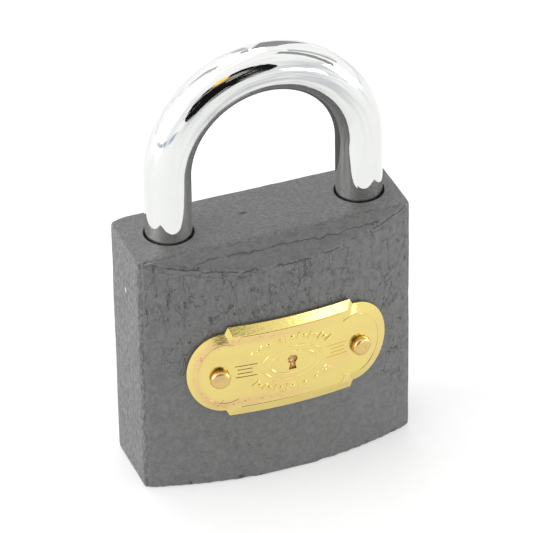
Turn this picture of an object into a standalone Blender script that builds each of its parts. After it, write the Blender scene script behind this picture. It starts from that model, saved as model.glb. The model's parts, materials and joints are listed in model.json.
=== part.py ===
"""Cast-iron padlock, 50 mm wide, with a chromed shackle and a brass cover plate.

Units are metres and +Z is up. The lock stands on its bottom face, with the keyway opening
downwards and the cover plate facing -Y. The heel of the shackle, its long leg, is on the -X side
and the toe, which the bolt holds, is on the +X side.

At rest the shackle is pushed home, and the cylinder plug is turned a quarter, as by its key, so
the bolt is drawn back. Turning the plug the quarter back sends the bolt into the toe's notch.

Everything hangs under one empty, which carries the body-centred sizes below to the row's frame.
"""

import math

import bmesh
import bpy
from mathutils import Matrix, Vector

# ---- driving dimensions -------------------------------------------------------------------
GAP = 0.0003  # space between pieces that touch on the real lock

BODY_WIDTH = 0.0500
BODY_HEIGHT = 0.0475
SIDE_THICKNESS = 0.0137  # over the two narrow side faces
CROWN_RISE = 0.0045  # how far each broad face bulges at its middle
EDGE_ROUND = 0.0010
SHOULDER_HALF_WIDTH = 0.0073  # where the sloping shoulders meet the flat top
SHOULDER_SLOPE = 0.92  # drop of a shoulder per unit of depth

CORE_X = 0.00075  # the cast cores, and so all the fittings, sit this far to the toe side
LEG_SPACING = 0.0350
ROD_RADIUS = 0.0041
LEG_BORE_RADIUS = 0.0045
ARCH_BASE_Z = BODY_HEIGHT + 0.0108
ARCH_RISE = 0.0181
HEEL_END_Z = 0.0125
TOE_END_Z = 0.0355
SHACKLE_LIFT = 0.0125  # travel until the toe clears the body

BOLT_Z = 0.0413
BOLT_RADIUS = 0.0025
BOLT_TIP_X = 0.01295  # drawn back; the plug's quarter turn sends it 3.1 mm further
BOLT_TAIL_X = -0.0042
NOTCH_DEPTH = 0.0023

PLUG_Y = 0.0020
PLUG_RADIUS = 0.0050
PLUG_TOP_Z = 0.0364
PLUG_RECESS = 0.0003
REST_TURN = -math.pi / 2  # the plug's turn at rest, from where its pins line up
CRANK_RADIUS = 0.0022
CRANK_PIN_RADIUS = 0.0010
CRANK_ANGLE = -math.pi / 4  # where the drive pin stands when the bolt is thrown
BOLT_THROW = 2 * CRANK_RADIUS * math.sin(math.pi / 4)

PIN_COUNT = 4
FIRST_PIN_Z = 0.0194
PIN_PITCH = 0.0036
PIN_RADIUS = 0.0012
CHAMBER_RADIUS = 0.00145
KEY_PIN_LENGTHS = (0.0034, 0.0039, 0.0031, 0.0036)
DRIVER_LENGTH = 0.0032

SPRING_ROOM = 0.0090  # bore left under the heel's foot at rest
BOLT_SPRING_ROOM = 0.0067
RETAINING_PIN_RADIUS = 0.00125  # holds the shackle's heel
RETAINING_PIN_Z = 0.0296
PLUG_PIN_RADIUS = 0.0008  # holds the cylinder plug
PLUG_PIN_Z = 0.0163

PLATE_THICKNESS = 0.0009
PLATE_Z = 0.0238
PLATE_HALF_LENGTH = 0.0185
PLATE_STEP_X = 0.0112  # half length of the tall middle part
PLATE_HALF_HEIGHT = 0.0092
LOBE_HALF_HEIGHT = 0.0080
RIVET_SPACING = 0.0256
RIVET_Z = 0.0232
RIVET_RADIUS = 0.00095
RIVET_HEAD_RADIUS = 0.0018
RIVET_HEAD_HEIGHT = 0.0009

# ---- derived sizes ------------------------------------------------------------------------
CROWN_RADIUS = ((BODY_WIDTH / 2) ** 2 + CROWN_RISE**2) / (2 * CROWN_RISE)
HEEL_X = CORE_X - LEG_SPACING / 2
TOE_X = CORE_X + LEG_SPACING / 2
FACE_Y = SIDE_THICKNESS / 2 + CROWN_RISE
SHEAR_Y = PLUG_Y - PLUG_RADIUS
PIN_HEIGHTS = [FIRST_PIN_Z + PIN_PITCH * n for n in range(PIN_COUNT)]
RETAINING_PIN_X = HEEL_X + 0.00415
PLUG_PIN_X = CORE_X + 0.0049
RETAINERS = [
    # name, place of the axis, radius, how far the hole runs past the middle plane
    ("shackle_retaining_pin", (RETAINING_PIN_X, 0.0, RETAINING_PIN_Z), RETAINING_PIN_RADIUS, 0.0056),
    ("cylinder_retaining_pin", (PLUG_PIN_X, 0.0, PLUG_PIN_Z), PLUG_PIN_RADIUS, 0.0062),
]
RIVETS = [("left", CORE_X - RIVET_SPACING / 2), ("right", CORE_X + RIVET_SPACING / 2)]
RIVET_SEAT = 2 * GAP + PLATE_THICKNESS

UP = (0.0, 0.0, 0.0)
ALONG_X = (0.0, math.pi / 2, 0.0)
TOWARDS_FRONT = (math.pi / 2, 0.0, 0.0)


# ---- scene, materials and objects ---------------------------------------------------------
def clear_scene():
    for obj in list(bpy.data.objects):
        bpy.data.objects.remove(obj, do_unlink=True)
    for collection in list(bpy.data.collections):
        bpy.data.collections.remove(collection)


def new_collection(name):
    collection = bpy.data.collections.new(name)
    bpy.context.scene.collection.children.link(collection)
    return collection


def new_material(name, colour, roughness, metallic):
    material = bpy.data.materials.new(name)
    material.use_nodes = True
    shader = material.node_tree.nodes["Principled BSDF"]
    shader.inputs["Base Color"].default_value = (*colour, 1.0)
    shader.inputs["Roughness"].default_value = roughness
    shader.inputs["Metallic"].default_value = metallic
    material.diffuse_color = (*colour, 1.0)
    return material


def place(obj, parent, location=(0.0, 0.0, 0.0), turn=UP):
    obj.parent = parent
    obj.location = location
    obj.rotation_euler = turn


def smooth(mesh):
    mesh.shade_smooth()
    mesh.set_sharp_from_angle(angle=math.radians(35))


def new_part(name, mesh, material, parent, location=(0.0, 0.0, 0.0), turn=UP):
    """A named, visible piece of the lock."""
    obj = bpy.data.objects.new(name, mesh)
    mesh.materials.clear()
    mesh.materials.append(material)
    smooth(mesh)
    PARTS.objects.link(obj)
    place(obj, parent, location, turn)
    return obj


def new_cutter(name, mesh, parent, location=(0.0, 0.0, 0.0), turn=UP):
    """A shape that is only taken away from a piece."""
    obj = bpy.data.objects.new(name, mesh)
    obj.hide_render = True
    obj.display_type = "WIRE"
    CUTTERS.objects.link(obj)
    place(obj, parent, location, turn)
    return obj


def combine(obj, other, operation="DIFFERENCE"):
    modifier = obj.modifiers.new(f"{operation.lower()} {other.name}", "BOOLEAN")
    modifier.object = other
    modifier.operation = operation
    modifier.solver = "EXACT"


# ---- meshes -------------------------------------------------------------------------------
def cylinder_mesh(radius, low, high, sides=32, top_radius=None):
    """A cylinder or cone about local Z, between two heights."""
    work = bmesh.new()
    bmesh.ops.create_cone(
        work,
        cap_ends=True,
        segments=sides,
        radius1=radius,
        radius2=radius if top_radius is None else top_radius,
        depth=high - low,
        matrix=Matrix.Translation((0.0, 0.0, (low + high) / 2)),
    )
    return finished(work, "cylinder")


def box_mesh(low, high):
    """A box between two opposite corners."""
    low, high = Vector(low), Vector(high)
    size = high - low
    work = bmesh.new()
    matrix = Matrix.Translation((low + high) / 2) @ Matrix.Diagonal((*size, 1.0))
    bmesh.ops.create_cube(work, size=1.0, matrix=matrix)
    return finished(work, "box")


def finished(work, name):
    mesh = bpy.data.meshes.new(name)
    work.to_mesh(mesh)
    work.free()
    return mesh


def evaluated_mesh(obj):
    """The object's own mesh with its curve or modifiers made real, and its loose caps welded."""
    bpy.context.scene.collection.objects.link(obj)
    graph = bpy.context.evaluated_depsgraph_get()
    mesh = bpy.data.meshes.new_from_object(obj.evaluated_get(graph))
    bpy.data.objects.remove(obj, do_unlink=True)
    work = bmesh.new()
    work.from_mesh(mesh)
    bmesh.ops.remove_doubles(work, verts=work.verts, dist=1e-6)
    bmesh.ops.recalc_face_normals(work, faces=work.faces)
    work.to_mesh(mesh)
    work.free()
    return mesh


def outline_mesh(points, low, high):
    """A flat outline in local XY, filled and extruded between two heights."""
    curve = bpy.data.curves.new("outline", "CURVE")
    curve.dimensions = "2D"
    curve.fill_mode = "BOTH"
    curve.extrude = (high - low) / 2
    spline = curve.splines.new("POLY")
    spline.points.add(len(points) - 1)
    for point, (x, y) in zip(spline.points, points):
        point.co = (x, y, 0.0, 1.0)
    spline.use_cyclic_u = True
    mesh = evaluated_mesh(bpy.data.objects.new("outline", curve))
    mesh.transform(Matrix.Translation((0.0, 0.0, (low + high) / 2)))
    work = bmesh.new()
    work.from_mesh(mesh)
    flat = math.radians(0.2)
    bmesh.ops.dissolve_limit(work, angle_limit=flat, verts=work.verts, edges=work.edges)
    work.to_mesh(mesh)
    work.free()
    return mesh


def wire_mesh(points, radius, sides_step=2, radii=None):
    """A round rod or wire along a list of points, with closed ends."""
    curve = bpy.data.curves.new("wire", "CURVE")
    curve.dimensions = "3D"
    curve.bevel_depth = radius
    curve.bevel_resolution = sides_step
    curve.use_fill_caps = True
    spline = curve.splines.new("POLY")
    spline.points.add(len(points) - 1)
    for index, point in enumerate(points):
        spline.points[index].co = (*point, 1.0)
        spline.points[index].radius = radii[index] if radii else 1.0
    return evaluated_mesh(bpy.data.objects.new("wire", curve))


def turned_mesh(profile, sides=28):
    """A solid of revolution about local Z. The profile (radius, height) runs from the top down."""
    mesh = bpy.data.meshes.new("profile")
    edges = [(n, n + 1) for n in range(len(profile) - 1)]
    mesh.from_pydata([(radius, 0.0, height) for radius, height in profile], edges, [])
    obj = bpy.data.objects.new("profile", mesh)
    screw = obj.modifiers.new("turn", "SCREW")
    screw.axis = "Z"
    screw.steps = screw.render_steps = sides
    screw.use_merge_vertices = True
    screw.merge_threshold = 1e-5
    return evaluated_mesh(obj)


def ring_mesh(inner, outer, low, high):
    """A plain ring about local Z, for cutting a groove."""
    profile = [(outer, high), (outer, low), (inner, low), (inner, high), (outer, high)]
    return turned_mesh(profile, 40)


def spring_mesh(coil_radius, wire_radius, low, high, turns, points_per_turn):
    """A compression spring about local Z whose wire lies between two heights."""
    count = round(turns * points_per_turn)
    first, last = low + wire_radius, high - wire_radius
    points = []
    for n in range(count + 1):
        angle = 2 * math.pi * n / points_per_turn
        rise = first + (last - first) * n / count
        points.append((coil_radius * math.cos(angle), coil_radius * math.sin(angle), rise))
    return wire_mesh(points, wire_radius)


# ---- the crowned body ---------------------------------------------------------------------
def crown_y(x):
    """Distance of the crowned face from the middle plane, at x."""
    return FACE_Y - CROWN_RADIUS + math.sqrt(CROWN_RADIUS**2 - x**2)


def crown_lean(x):
    """How far the face's outward direction leans towards +X, at x."""
    return math.asin(x / CROWN_RADIUS)


def crowned_band(offset, x_low, x_high, steps):
    """Points of the crowned front face, moved out by an offset, from x_low to x_high."""
    span = x_high - x_low
    xs = [x_low + span * n / steps for n in range(steps + 1)]
    return [(x, -crown_y(x) - offset) for x in xs]


def body_plan():
    front = crowned_band(0.0, -BODY_WIDTH / 2, BODY_WIDTH / 2, 28)
    back = [(-x, -y) for x, y in front]
    return front + back


def shoulder_cutter(name, side):
    """A wedge that slopes one top edge; side is -1 for the front and +1 for the back."""
    depth = 0.010
    inner = SHOULDER_HALF_WIDTH
    outline = [
        (inner, 0.0),
        (inner + depth, -depth * SHOULDER_SLOPE),
        (inner + depth, depth),
        (inner, depth),
    ]
    mesh = outline_mesh([(y, z) for y, z in outline], -BODY_WIDTH, BODY_WIDTH)
    # The outline's own XY becomes the lock's YZ.
    mesh.transform(Matrix(((0, 0, 1, 0), (1, 0, 0, 0), (0, 1, 0, 0), (0, 0, 0, 1))))
    turn = (0.0, 0.0, math.pi if side < 0 else 0.0)
    return new_cutter(name, mesh, LOCK, (0.0, 0.0, BODY_HEIGHT), turn)


def make_body():
    body = new_part("body", outline_mesh(body_plan(), 0.0, BODY_HEIGHT), PAINT, LOCK)
    bevel = body.modifiers.new("rounded casting edges", "BEVEL")
    bevel.width = EDGE_ROUND
    bevel.segments = 3
    bevel.limit_method = "ANGLE"
    bevel.angle_limit = math.radians(40)
    for cutter in body_cutters():
        combine(body, cutter)
    return body


def body_cutters():
    """Every shoulder, bore and chamber of the casting."""
    top = BODY_HEIGHT + 0.002
    bolt_low = BOLT_TAIL_X - BOLT_SPRING_ROOM
    yield shoulder_cutter("front_shoulder", -1)
    yield shoulder_cutter("back_shoulder", 1)
    heel_bore = cylinder_mesh(LEG_BORE_RADIUS, HEEL_END_Z - SPRING_ROOM, top, 40)
    yield new_cutter("heel_bore", heel_bore, LOCK, (HEEL_X, 0.0, 0.0))
    toe_bore = cylinder_mesh(LEG_BORE_RADIUS, TOE_END_Z - 0.0010, top, 40)
    yield new_cutter("toe_bore", toe_bore, LOCK, (TOE_X, 0.0, 0.0))
    bolt_bore = cylinder_mesh(BOLT_RADIUS + GAP, bolt_low, BODY_WIDTH / 2 + 0.001, 32)
    yield new_cutter("bolt_bore", bolt_bore, LOCK, (0.0, 0.0, BOLT_Z), ALONG_X)
    plug_bore = cylinder_mesh(PLUG_RADIUS + GAP, -0.001, PLUG_TOP_Z + GAP, 40)
    yield new_cutter("plug_bore", plug_bore, LOCK, (CORE_X, PLUG_Y, 0.0))
    crank_room = CRANK_RADIUS + CRANK_PIN_RADIUS + GAP
    crank_well = cylinder_mesh(crank_room, PLUG_TOP_Z, BOLT_Z - 0.0005, 32)
    yield new_cutter("crank_well", crank_well, LOCK, (CORE_X, PLUG_Y, 0.0))
    for number, height in enumerate(PIN_HEIGHTS, 1):
        chamber = cylinder_mesh(CHAMBER_RADIUS, -SHEAR_Y - 0.001, FACE_Y + 0.001, 20)
        spot = (CORE_X, 0.0, height)
        yield new_cutter(f"chamber_{number}", chamber, LOCK, spot, TOWARDS_FRONT)
    for name, spot, radius, past in RETAINERS:
        hole = cylinder_mesh(radius + GAP, -past, FACE_Y + 0.001, 20)
        yield new_cutter(f"{name}_hole", hole, LOCK, spot, TOWARDS_FRONT)
    for side, x in RIVETS:
        hole = cylinder_mesh(RIVET_RADIUS + GAP, -0.0056, 0.002, 20)
        yield new_cutter(f"rivet_hole_{side}", hole, LOCK, *on_face(x, RIVET_Z))


def on_face(x, z):
    """Place and turn of a local Z that points straight out of the front face at x, z."""
    return (x, -crown_y(x), z), (math.pi / 2, 0.0, crown_lean(x))


# ---- shackle ------------------------------------------------------------------------------
def shackle_path():
    """The bent rod's centre line, from the heel's foot to the toe's tip, from the heel's axis."""
    half = LEG_SPACING / 2
    points = [(0.0, 0.0, HEEL_END_Z), (0.0, 0.0, HEEL_END_Z + 0.0006)]
    steps = 32
    for n in range(steps + 1):
        angle = math.pi * (1 - n / steps)
        rise = ARCH_BASE_Z + ARCH_RISE * math.sin(angle)
        points.append((half + half * math.cos(angle), 0.0, rise))
    points.append((LEG_SPACING, 0.0, TOE_END_Z + 0.0010))
    points.append((LEG_SPACING, 0.0, TOE_END_Z))
    return points


def make_shackle():
    path = shackle_path()
    radii = [0.9] + [1.0] * (len(path) - 2) + [0.8]
    mesh = wire_mesh(path, ROD_RADIUS, 10, radii)
    shackle = new_part("shackle", mesh, CHROME, LOCK, (HEEL_X, 0.0, 0.0))
    for cutter in shackle_cutters():
        combine(shackle, cutter)
    return shackle


def shackle_cutters():
    """The toe's notch for the bolt, and the heel's long flat and ring that the pin runs in."""
    wide = 2 * ROD_RADIUS
    notch_x = TOE_X - ROD_RADIUS + NOTCH_DEPTH
    half = BOLT_RADIUS + 0.0004
    notch = box_mesh((notch_x - wide, -wide, BOLT_Z - half), (notch_x, wide, BOLT_Z + half))
    yield new_cutter("toe_notch", notch, LOCK)
    flat_x = RETAINING_PIN_X - RETAINING_PIN_RADIUS - GAP
    flat_low = RETAINING_PIN_Z - RETAINING_PIN_RADIUS - SHACKLE_LIFT - GAP
    flat_high = RETAINING_PIN_Z + RETAINING_PIN_RADIUS + 2 * GAP
    flat = box_mesh((flat_x, -wide, flat_low), (flat_x + wide, wide, flat_high))
    yield new_cutter("heel_flat", flat, LOCK)
    groove_high = flat_low + 2 * RETAINING_PIN_RADIUS + 2 * GAP
    groove = ring_mesh(flat_x - HEEL_X, 1.5 * ROD_RADIUS, flat_low, groove_high)
    yield new_cutter("heel_groove", groove, LOCK, (HEEL_X, 0.0, 0.0))


# ---- cylinder plug, drive pin and bolt ----------------------------------------------------
def keyway_outline():
    """The key slot's section, seen from above, with a ward stepped into each side."""
    half = 0.0009
    ward = 0.0005
    right = [(half, -0.0031), (half, -0.0012), (half - ward, -0.0007), (half - ward, 0.0004)]
    right += [(half, 0.0009), (half, 0.0034)]
    left = [(-half, 0.0034), (-half, 0.0021), (-half - ward, 0.0016), (-half - ward, 0.0006)]
    left += [(-half, 0.0001), (-half, -0.0031)]
    return right + left


def make_plug(axis):
    groove_half = PLUG_PIN_RADIUS + 0.0003
    groove_radius = PLUG_PIN_X - PLUG_PIN_RADIUS - GAP - CORE_X
    edge = 0.0004
    profile = [
        (0.0, PLUG_TOP_Z),
        (PLUG_RADIUS - edge, PLUG_TOP_Z),
        (PLUG_RADIUS, PLUG_TOP_Z - edge),
        (PLUG_RADIUS, PLUG_PIN_Z + groove_half),
        (groove_radius, PLUG_PIN_Z + groove_half),
        (groove_radius, PLUG_PIN_Z - groove_half),
        (PLUG_RADIUS, PLUG_PIN_Z - groove_half),
        (PLUG_RADIUS, PLUG_RECESS + edge),
        (PLUG_RADIUS - edge, PLUG_RECESS),
        (0.0, PLUG_RECESS),
    ]
    plug = new_part("cylinder_plug", turned_mesh(profile, 40), BRASS, axis)
    keyway = outline_mesh(keyway_outline(), -0.001, PIN_HEIGHTS[-1] + 0.0026)
    combine(plug, new_cutter("keyway", keyway, axis))
    for number, height in enumerate(PIN_HEIGHTS, 1):
        hole = cylinder_mesh(CHAMBER_RADIUS, 0.0, PLUG_RADIUS + 0.001, 20)
        cutter = new_cutter(f"pin_hole_{number}", hole, axis, (0.0, 0.0, height), TOWARDS_FRONT)
        combine(plug, cutter)
    socket = cylinder_mesh(CRANK_PIN_RADIUS + GAP, PLUG_TOP_Z - 0.0028, PLUG_TOP_Z + 0.001, 20)
    combine(plug, new_cutter("drive_pin_socket", socket, axis, crank_spot()))


def crank_spot():
    """Where the drive pin stands, from the plug's axis, before the plug's own turn."""
    return (CRANK_RADIUS * math.cos(CRANK_ANGLE), CRANK_RADIUS * math.sin(CRANK_ANGLE), 0.0)


def make_drive_pin(axis):
    top, bottom = BOLT_Z - 0.0006, PLUG_TOP_Z - 0.0025
    edge = 0.0002
    profile = [
        (0.0, top),
        (CRANK_PIN_RADIUS - edge, top),
        (CRANK_PIN_RADIUS, top - edge),
        (CRANK_PIN_RADIUS, bottom),
        (0.0, bottom),
    ]
    new_part("drive_pin", turned_mesh(profile, 20), STEEL, axis, crank_spot())


def make_bolt():
    """The bolt, its nose sloped on top so that the toe can push it back."""
    length = BOLT_TIP_X - BOLT_TAIL_X
    edge = 0.0003
    profile = [
        (0.0, length),
        (BOLT_RADIUS - edge, length),
        (BOLT_RADIUS, length - edge),
        (BOLT_RADIUS, edge),
        (BOLT_RADIUS - edge, 0.0),
        (0.0, 0.0),
    ]
    spot = (BOLT_TAIL_X, 0.0, BOLT_Z)
    bolt = new_part("locking_bolt", turned_mesh(profile, 32), STEEL, LOCK, spot, ALONG_X)
    drawn_x = CORE_X - BOLT_THROW / 2
    room = CRANK_PIN_RADIUS + GAP + 0.0001
    slot = box_mesh(
        (drawn_x - room, -0.0020, -BOLT_RADIUS - 0.001),
        (drawn_x + room + BOLT_THROW, BOLT_RADIUS + 0.001, -0.0002),
    )
    combine(bolt, new_cutter("drive_slot", slot, LOCK, (0.0, 0.0, BOLT_Z)))
    slope = box_mesh((-0.002, -0.004, 0.0), (0.006, 0.004, 0.004))
    spot = (BOLT_TIP_X - 0.0012, 0.0, BOLT_Z + BOLT_RADIUS)
    combine(bolt, new_cutter("nose_slope", slope, LOCK, spot, (0.0, math.radians(50), 0.0)))


def make_bore_plug():
    """Closes the mouth of the bolt's bore on the toe side."""
    low, high = TOE_X + LEG_BORE_RADIUS + GAP, BODY_WIDTH / 2 - 0.0001
    edge = 0.0002
    radius = BOLT_RADIUS + GAP / 3
    profile = [(0.0, high), (radius - edge, high), (radius, high - edge), (radius, low), (0.0, low)]
    new_part("bore_plug", turned_mesh(profile, 32), PAINT, LOCK, (0.0, 0.0, BOLT_Z), ALONG_X)


# ---- pins, springs and retainers ----------------------------------------------------------
def pin_profile(radius, low, high, nose=0.0002, foot=0.0002):
    """A round pin with its two ends chamfered."""
    return [
        (0.0, high),
        (radius - foot, high),
        (radius, high - foot),
        (radius, low + nose),
        (radius - nose, low),
        (0.0, low),
    ]


def make_retainers():
    for name, spot, radius, past in RETAINERS:
        high = crown_y(spot[0]) - 0.0004
        mesh = turned_mesh(pin_profile(radius, GAP - past, high), 20)
        new_part(name, mesh, STEEL, LOCK, spot, TOWARDS_FRONT)


def make_pin_stacks(axis):
    """A key pin in the plug, and a driver and its spring in the body, at each height."""
    for number, height in enumerate(PIN_HEIGHTS, 1):
        outer = PLUG_RADIUS - 0.00025
        inner = outer - KEY_PIN_LENGTHS[number - 1]
        profile = pin_profile(PIN_RADIUS, inner, outer, nose=0.0009)
        spot = (0.0, 0.0, height)
        mesh = turned_mesh(profile, 16)
        new_part(f"key_pin_{number}", mesh, BRASS, axis, spot, TOWARDS_FRONT)
        low = -SHEAR_Y + GAP
        high = low + DRIVER_LENGTH
        spot = (CORE_X, 0.0, height)
        mesh = turned_mesh(pin_profile(PIN_RADIUS, low, high), 16)
        new_part(f"driver_pin_{number}", mesh, STEEL, LOCK, spot, TOWARDS_FRONT)
        mesh = spring_mesh(0.00092, 0.0002, high + GAP, FACE_Y, 4.5, 10)
        new_part(f"pin_spring_{number}", mesh, STEEL, LOCK, spot, TOWARDS_FRONT)


def make_springs():
    low = HEEL_END_Z - SPRING_ROOM + GAP
    mesh = spring_mesh(0.0034, 0.00045, low, HEEL_END_Z - GAP, 5.5, 14)
    new_part("shackle_spring", mesh, STEEL, LOCK, (HEEL_X, 0.0, 0.0))
    low = BOLT_TAIL_X - BOLT_SPRING_ROOM + GAP
    mesh = spring_mesh(0.0020, 0.00025, low, BOLT_TAIL_X - GAP, 6.5, 12)
    new_part("bolt_spring", mesh, STEEL, LOCK, (0.0, 0.0, BOLT_Z), ALONG_X)


# ---- cover plate and its rivets -----------------------------------------------------------
def plate_outline():
    """Round-ended plate, a little taller along its stepped middle part, from its own centre."""
    quarter = [(PLATE_STEP_X, PLATE_HALF_HEIGHT), (PLATE_STEP_X + 0.0006, LOBE_HALF_HEIGHT)]
    steps = 10
    reach = PLATE_HALF_LENGTH - quarter[-1][0]
    for n in range(1, steps + 1):
        angle = math.pi / 2 * (1 - n / steps)
        x = quarter[1][0] + reach * math.cos(angle)
        quarter.append((x, LOBE_HALF_HEIGHT * math.sin(angle)))
    right = quarter + [(x, -z) for x, z in quarter[-2::-1]]
    return right + [(-x, -z) for x, z in right]


def make_cover_plate():
    """A slice of the crowned face's own curve, cut to the plate's outline."""
    low, high = CORE_X - PLATE_HALF_LENGTH - 0.002, CORE_X + PLATE_HALF_LENGTH + 0.002
    inner = crowned_band(GAP, low, high, 24)
    outer = crowned_band(GAP + PLATE_THICKNESS, low, high, 24)
    slab = outline_mesh(inner + outer[::-1], PLATE_Z - 0.012, PLATE_Z + 0.012)
    plate = new_part("cover_plate", slab, BRASS, LOCK)
    outline = outline_mesh(plate_outline(), 0.0, 0.020)
    spot = (CORE_X, 0.0, PLATE_Z)
    stencil = new_cutter("plate_stencil", outline, LOCK, spot, TOWARDS_FRONT)
    combine(plate, stencil, "INTERSECT")
    for side, x in RIVETS:
        hole = cylinder_mesh(RIVET_RADIUS + GAP, -0.002, 0.004, 20)
        combine(plate, new_cutter(f"plate_hole_{side}", hole, LOCK, *on_face(x, RIVET_Z)))


def make_rivets():
    """Round-headed rivets that stand square on the crowned plate."""
    steps = 6
    dome = []
    for n in range(steps + 1):
        angle = math.pi / 2 * n / steps
        radius = RIVET_HEAD_RADIUS * math.sin(angle)
        dome.append((radius, RIVET_SEAT + RIVET_HEAD_HEIGHT * math.cos(angle)))
    shank = [(RIVET_RADIUS, RIVET_SEAT), (RIVET_RADIUS, -0.0050), (0.0, -0.0053)]
    for side, x in RIVETS:
        mesh = turned_mesh(dome + shank, 24)
        new_part(f"plate_rivet_{side}", mesh, BRASS, LOCK, *on_face(x, RIVET_Z))


# ---- assembly -----------------------------------------------------------------------------
clear_scene()
PARTS = new_collection("padlock")
CUTTERS = new_collection("padlock cutters")

PAINT = new_material("grey crackle paint", (0.16, 0.16, 0.16), 0.45, 0.1)
CHROME = new_material("bright chrome", (0.80, 0.81, 0.82), 0.07, 1.0)
BRASS = new_material("yellow brass", (0.86, 0.66, 0.24), 0.25, 1.0)
STEEL = new_material("plain steel", (0.55, 0.56, 0.57), 0.35, 1.0)

# The lock's depth, rivet heads included, is centred on Y = 0.
head_x = RIVETS[0][1]
front_reach = crown_y(head_x) + (RIVET_SEAT + RIVET_HEAD_HEIGHT) * math.cos(crown_lean(head_x))
LOCK = bpy.data.objects.new("lock_frame", None)
LOCK.location = (0.0, (front_reach - FACE_Y) / 2, 0.0)
PARTS.objects.link(LOCK)

PLUG_AXIS = bpy.data.objects.new("plug_axis", None)
PARTS.objects.link(PLUG_AXIS)
place(PLUG_AXIS, LOCK, (CORE_X, PLUG_Y, 0.0), (0.0, 0.0, REST_TURN))

make_body()
make_shackle()
make_cover_plate()
make_rivets()
make_plug(PLUG_AXIS)
make_drive_pin(PLUG_AXIS)
make_bolt()
make_bore_plug()
make_retainers()
make_springs()
make_pin_stacks(PLUG_AXIS)
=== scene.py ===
# %% [markdown]
# # A cast padlock, finished by hand
#
# The CAD model already holds every piece of this padlock at its true size: the iron body, the
# bent shackle, the brass plate and its rivets, and the plug, bolt, pins and springs inside. This
# notebook gives it its looks. The pieces that an eye can reach are modelled again with finer
# surfaces, in the same places. So are the springs. Every other piece keeps its CAD shape and
# gets a finish.
#
# The frame is loaded first.

# %% Load the frame
import json
import math

import bmesh
import bpy
from mathutils import Matrix, Vector


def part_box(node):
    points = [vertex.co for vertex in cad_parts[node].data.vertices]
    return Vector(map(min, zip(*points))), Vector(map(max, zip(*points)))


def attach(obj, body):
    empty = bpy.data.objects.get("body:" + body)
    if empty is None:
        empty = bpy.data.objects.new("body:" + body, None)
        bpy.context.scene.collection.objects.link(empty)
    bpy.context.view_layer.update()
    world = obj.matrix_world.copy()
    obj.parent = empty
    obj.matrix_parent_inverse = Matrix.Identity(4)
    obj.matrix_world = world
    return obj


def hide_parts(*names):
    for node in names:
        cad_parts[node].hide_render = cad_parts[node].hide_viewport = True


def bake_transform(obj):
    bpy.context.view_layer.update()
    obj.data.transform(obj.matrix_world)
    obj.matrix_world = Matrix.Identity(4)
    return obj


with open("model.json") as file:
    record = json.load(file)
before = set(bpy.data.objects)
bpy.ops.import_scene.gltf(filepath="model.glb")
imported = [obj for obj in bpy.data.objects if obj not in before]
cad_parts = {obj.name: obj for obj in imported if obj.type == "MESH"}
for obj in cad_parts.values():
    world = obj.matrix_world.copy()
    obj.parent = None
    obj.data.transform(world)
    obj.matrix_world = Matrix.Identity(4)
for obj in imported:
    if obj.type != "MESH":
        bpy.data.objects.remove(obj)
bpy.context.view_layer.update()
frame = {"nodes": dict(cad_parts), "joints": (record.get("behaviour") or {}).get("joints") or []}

# %% [markdown]
# The sizes that the pieces share come from the boxes of the CAD nodes. Only what a box can't
# tell, such as where the arch of the shackle begins, is written here as a number.

# %% Sizes shared by the pieces
MM = 0.001

body_low, body_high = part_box("body")
WIDTH = body_high.x - body_low.x
DEPTH = body_high.y - body_low.y
HEIGHT = body_high.z
MID_Y = (body_low.y + body_high.y) / 2

SIDE_THICKNESS = 13.7 * MM
SHOULDER_HALF = 7.3 * MM
SHOULDER_SLOPE = 0.92
CROWN_RISE = (DEPTH - SIDE_THICKNESS) / 2
CROWN_RADIUS = ((WIDTH / 2) ** 2 + CROWN_RISE**2) / (2 * CROWN_RISE)

rod_low, rod_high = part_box("shackle")
ROD = (rod_high.y - rod_low.y) / 2
HEEL_X = rod_low.x + ROD
TOE_X = rod_high.x - ROD
ARCH_BASE_Z = HEIGHT + 10.8 * MM
TOE_END_Z = 35.5 * MM
LEG_BORE = 4.42 * MM
CORE_X = (HEEL_X + TOE_X) / 2

# The plate's round ends: their half height, and how far their centres lie from its middle.
LOBE_HALF = 8.0 * MM
LOBE_X = 11.8 * MM

print("body, mm:", [round(length / MM, 1) for length in (WIDTH, DEPTH, HEIGHT)])
print("rod, mm:", round(2 * ROD / MM, 1))

# %% [markdown]
# Modelling by hand in Blender means adding a primitive, going into edit mode, picking some of
# its faces or edges and running an operator on them. These few helpers do the same from code:
# they leave nothing else selected, because an operator acts on all that is.

# %% Helpers for adding a piece
def activate(piece):
    """Makes one object the only selected and active one."""
    bpy.ops.object.select_all(action="DESELECT")
    piece.select_set(True)
    bpy.context.view_layer.objects.active = piece


def add(kind, name, **settings):
    """Adds a primitive as by hand, at its size and place, and gives it back."""
    bpy.ops.object.select_all(action="DESELECT")
    getattr(bpy.ops.mesh, f"primitive_{kind}_add")(**settings)
    piece = bpy.context.object
    piece.name = piece.data.name = name
    return piece


def settle(piece):
    """Puts the object's place, turn and scale into its mesh."""
    activate(piece)
    bpy.ops.object.transform_apply(location=True, rotation=True, scale=True)


def add_block(name, low, high):
    """A cube primitive stretched between two corners."""
    low, high = Vector(low), Vector(high)
    piece = add("cube", name, size=1.0, location=(low + high) / 2, scale=high - low)
    settle(piece)
    return piece


def add_disc(name, sides, radius, centre):
    """A flat filled circle, from which a round piece is pulled up."""
    piece = add("circle", name, vertices=sides, radius=radius, fill_type="NGON", location=centre)
    settle(piece)
    return piece


def put_in_scene(name, data):
    """An object that holds the given mesh, light or camera."""
    piece = bpy.data.objects.new(name, data)
    bpy.context.scene.collection.objects.link(piece)
    return piece


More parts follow.
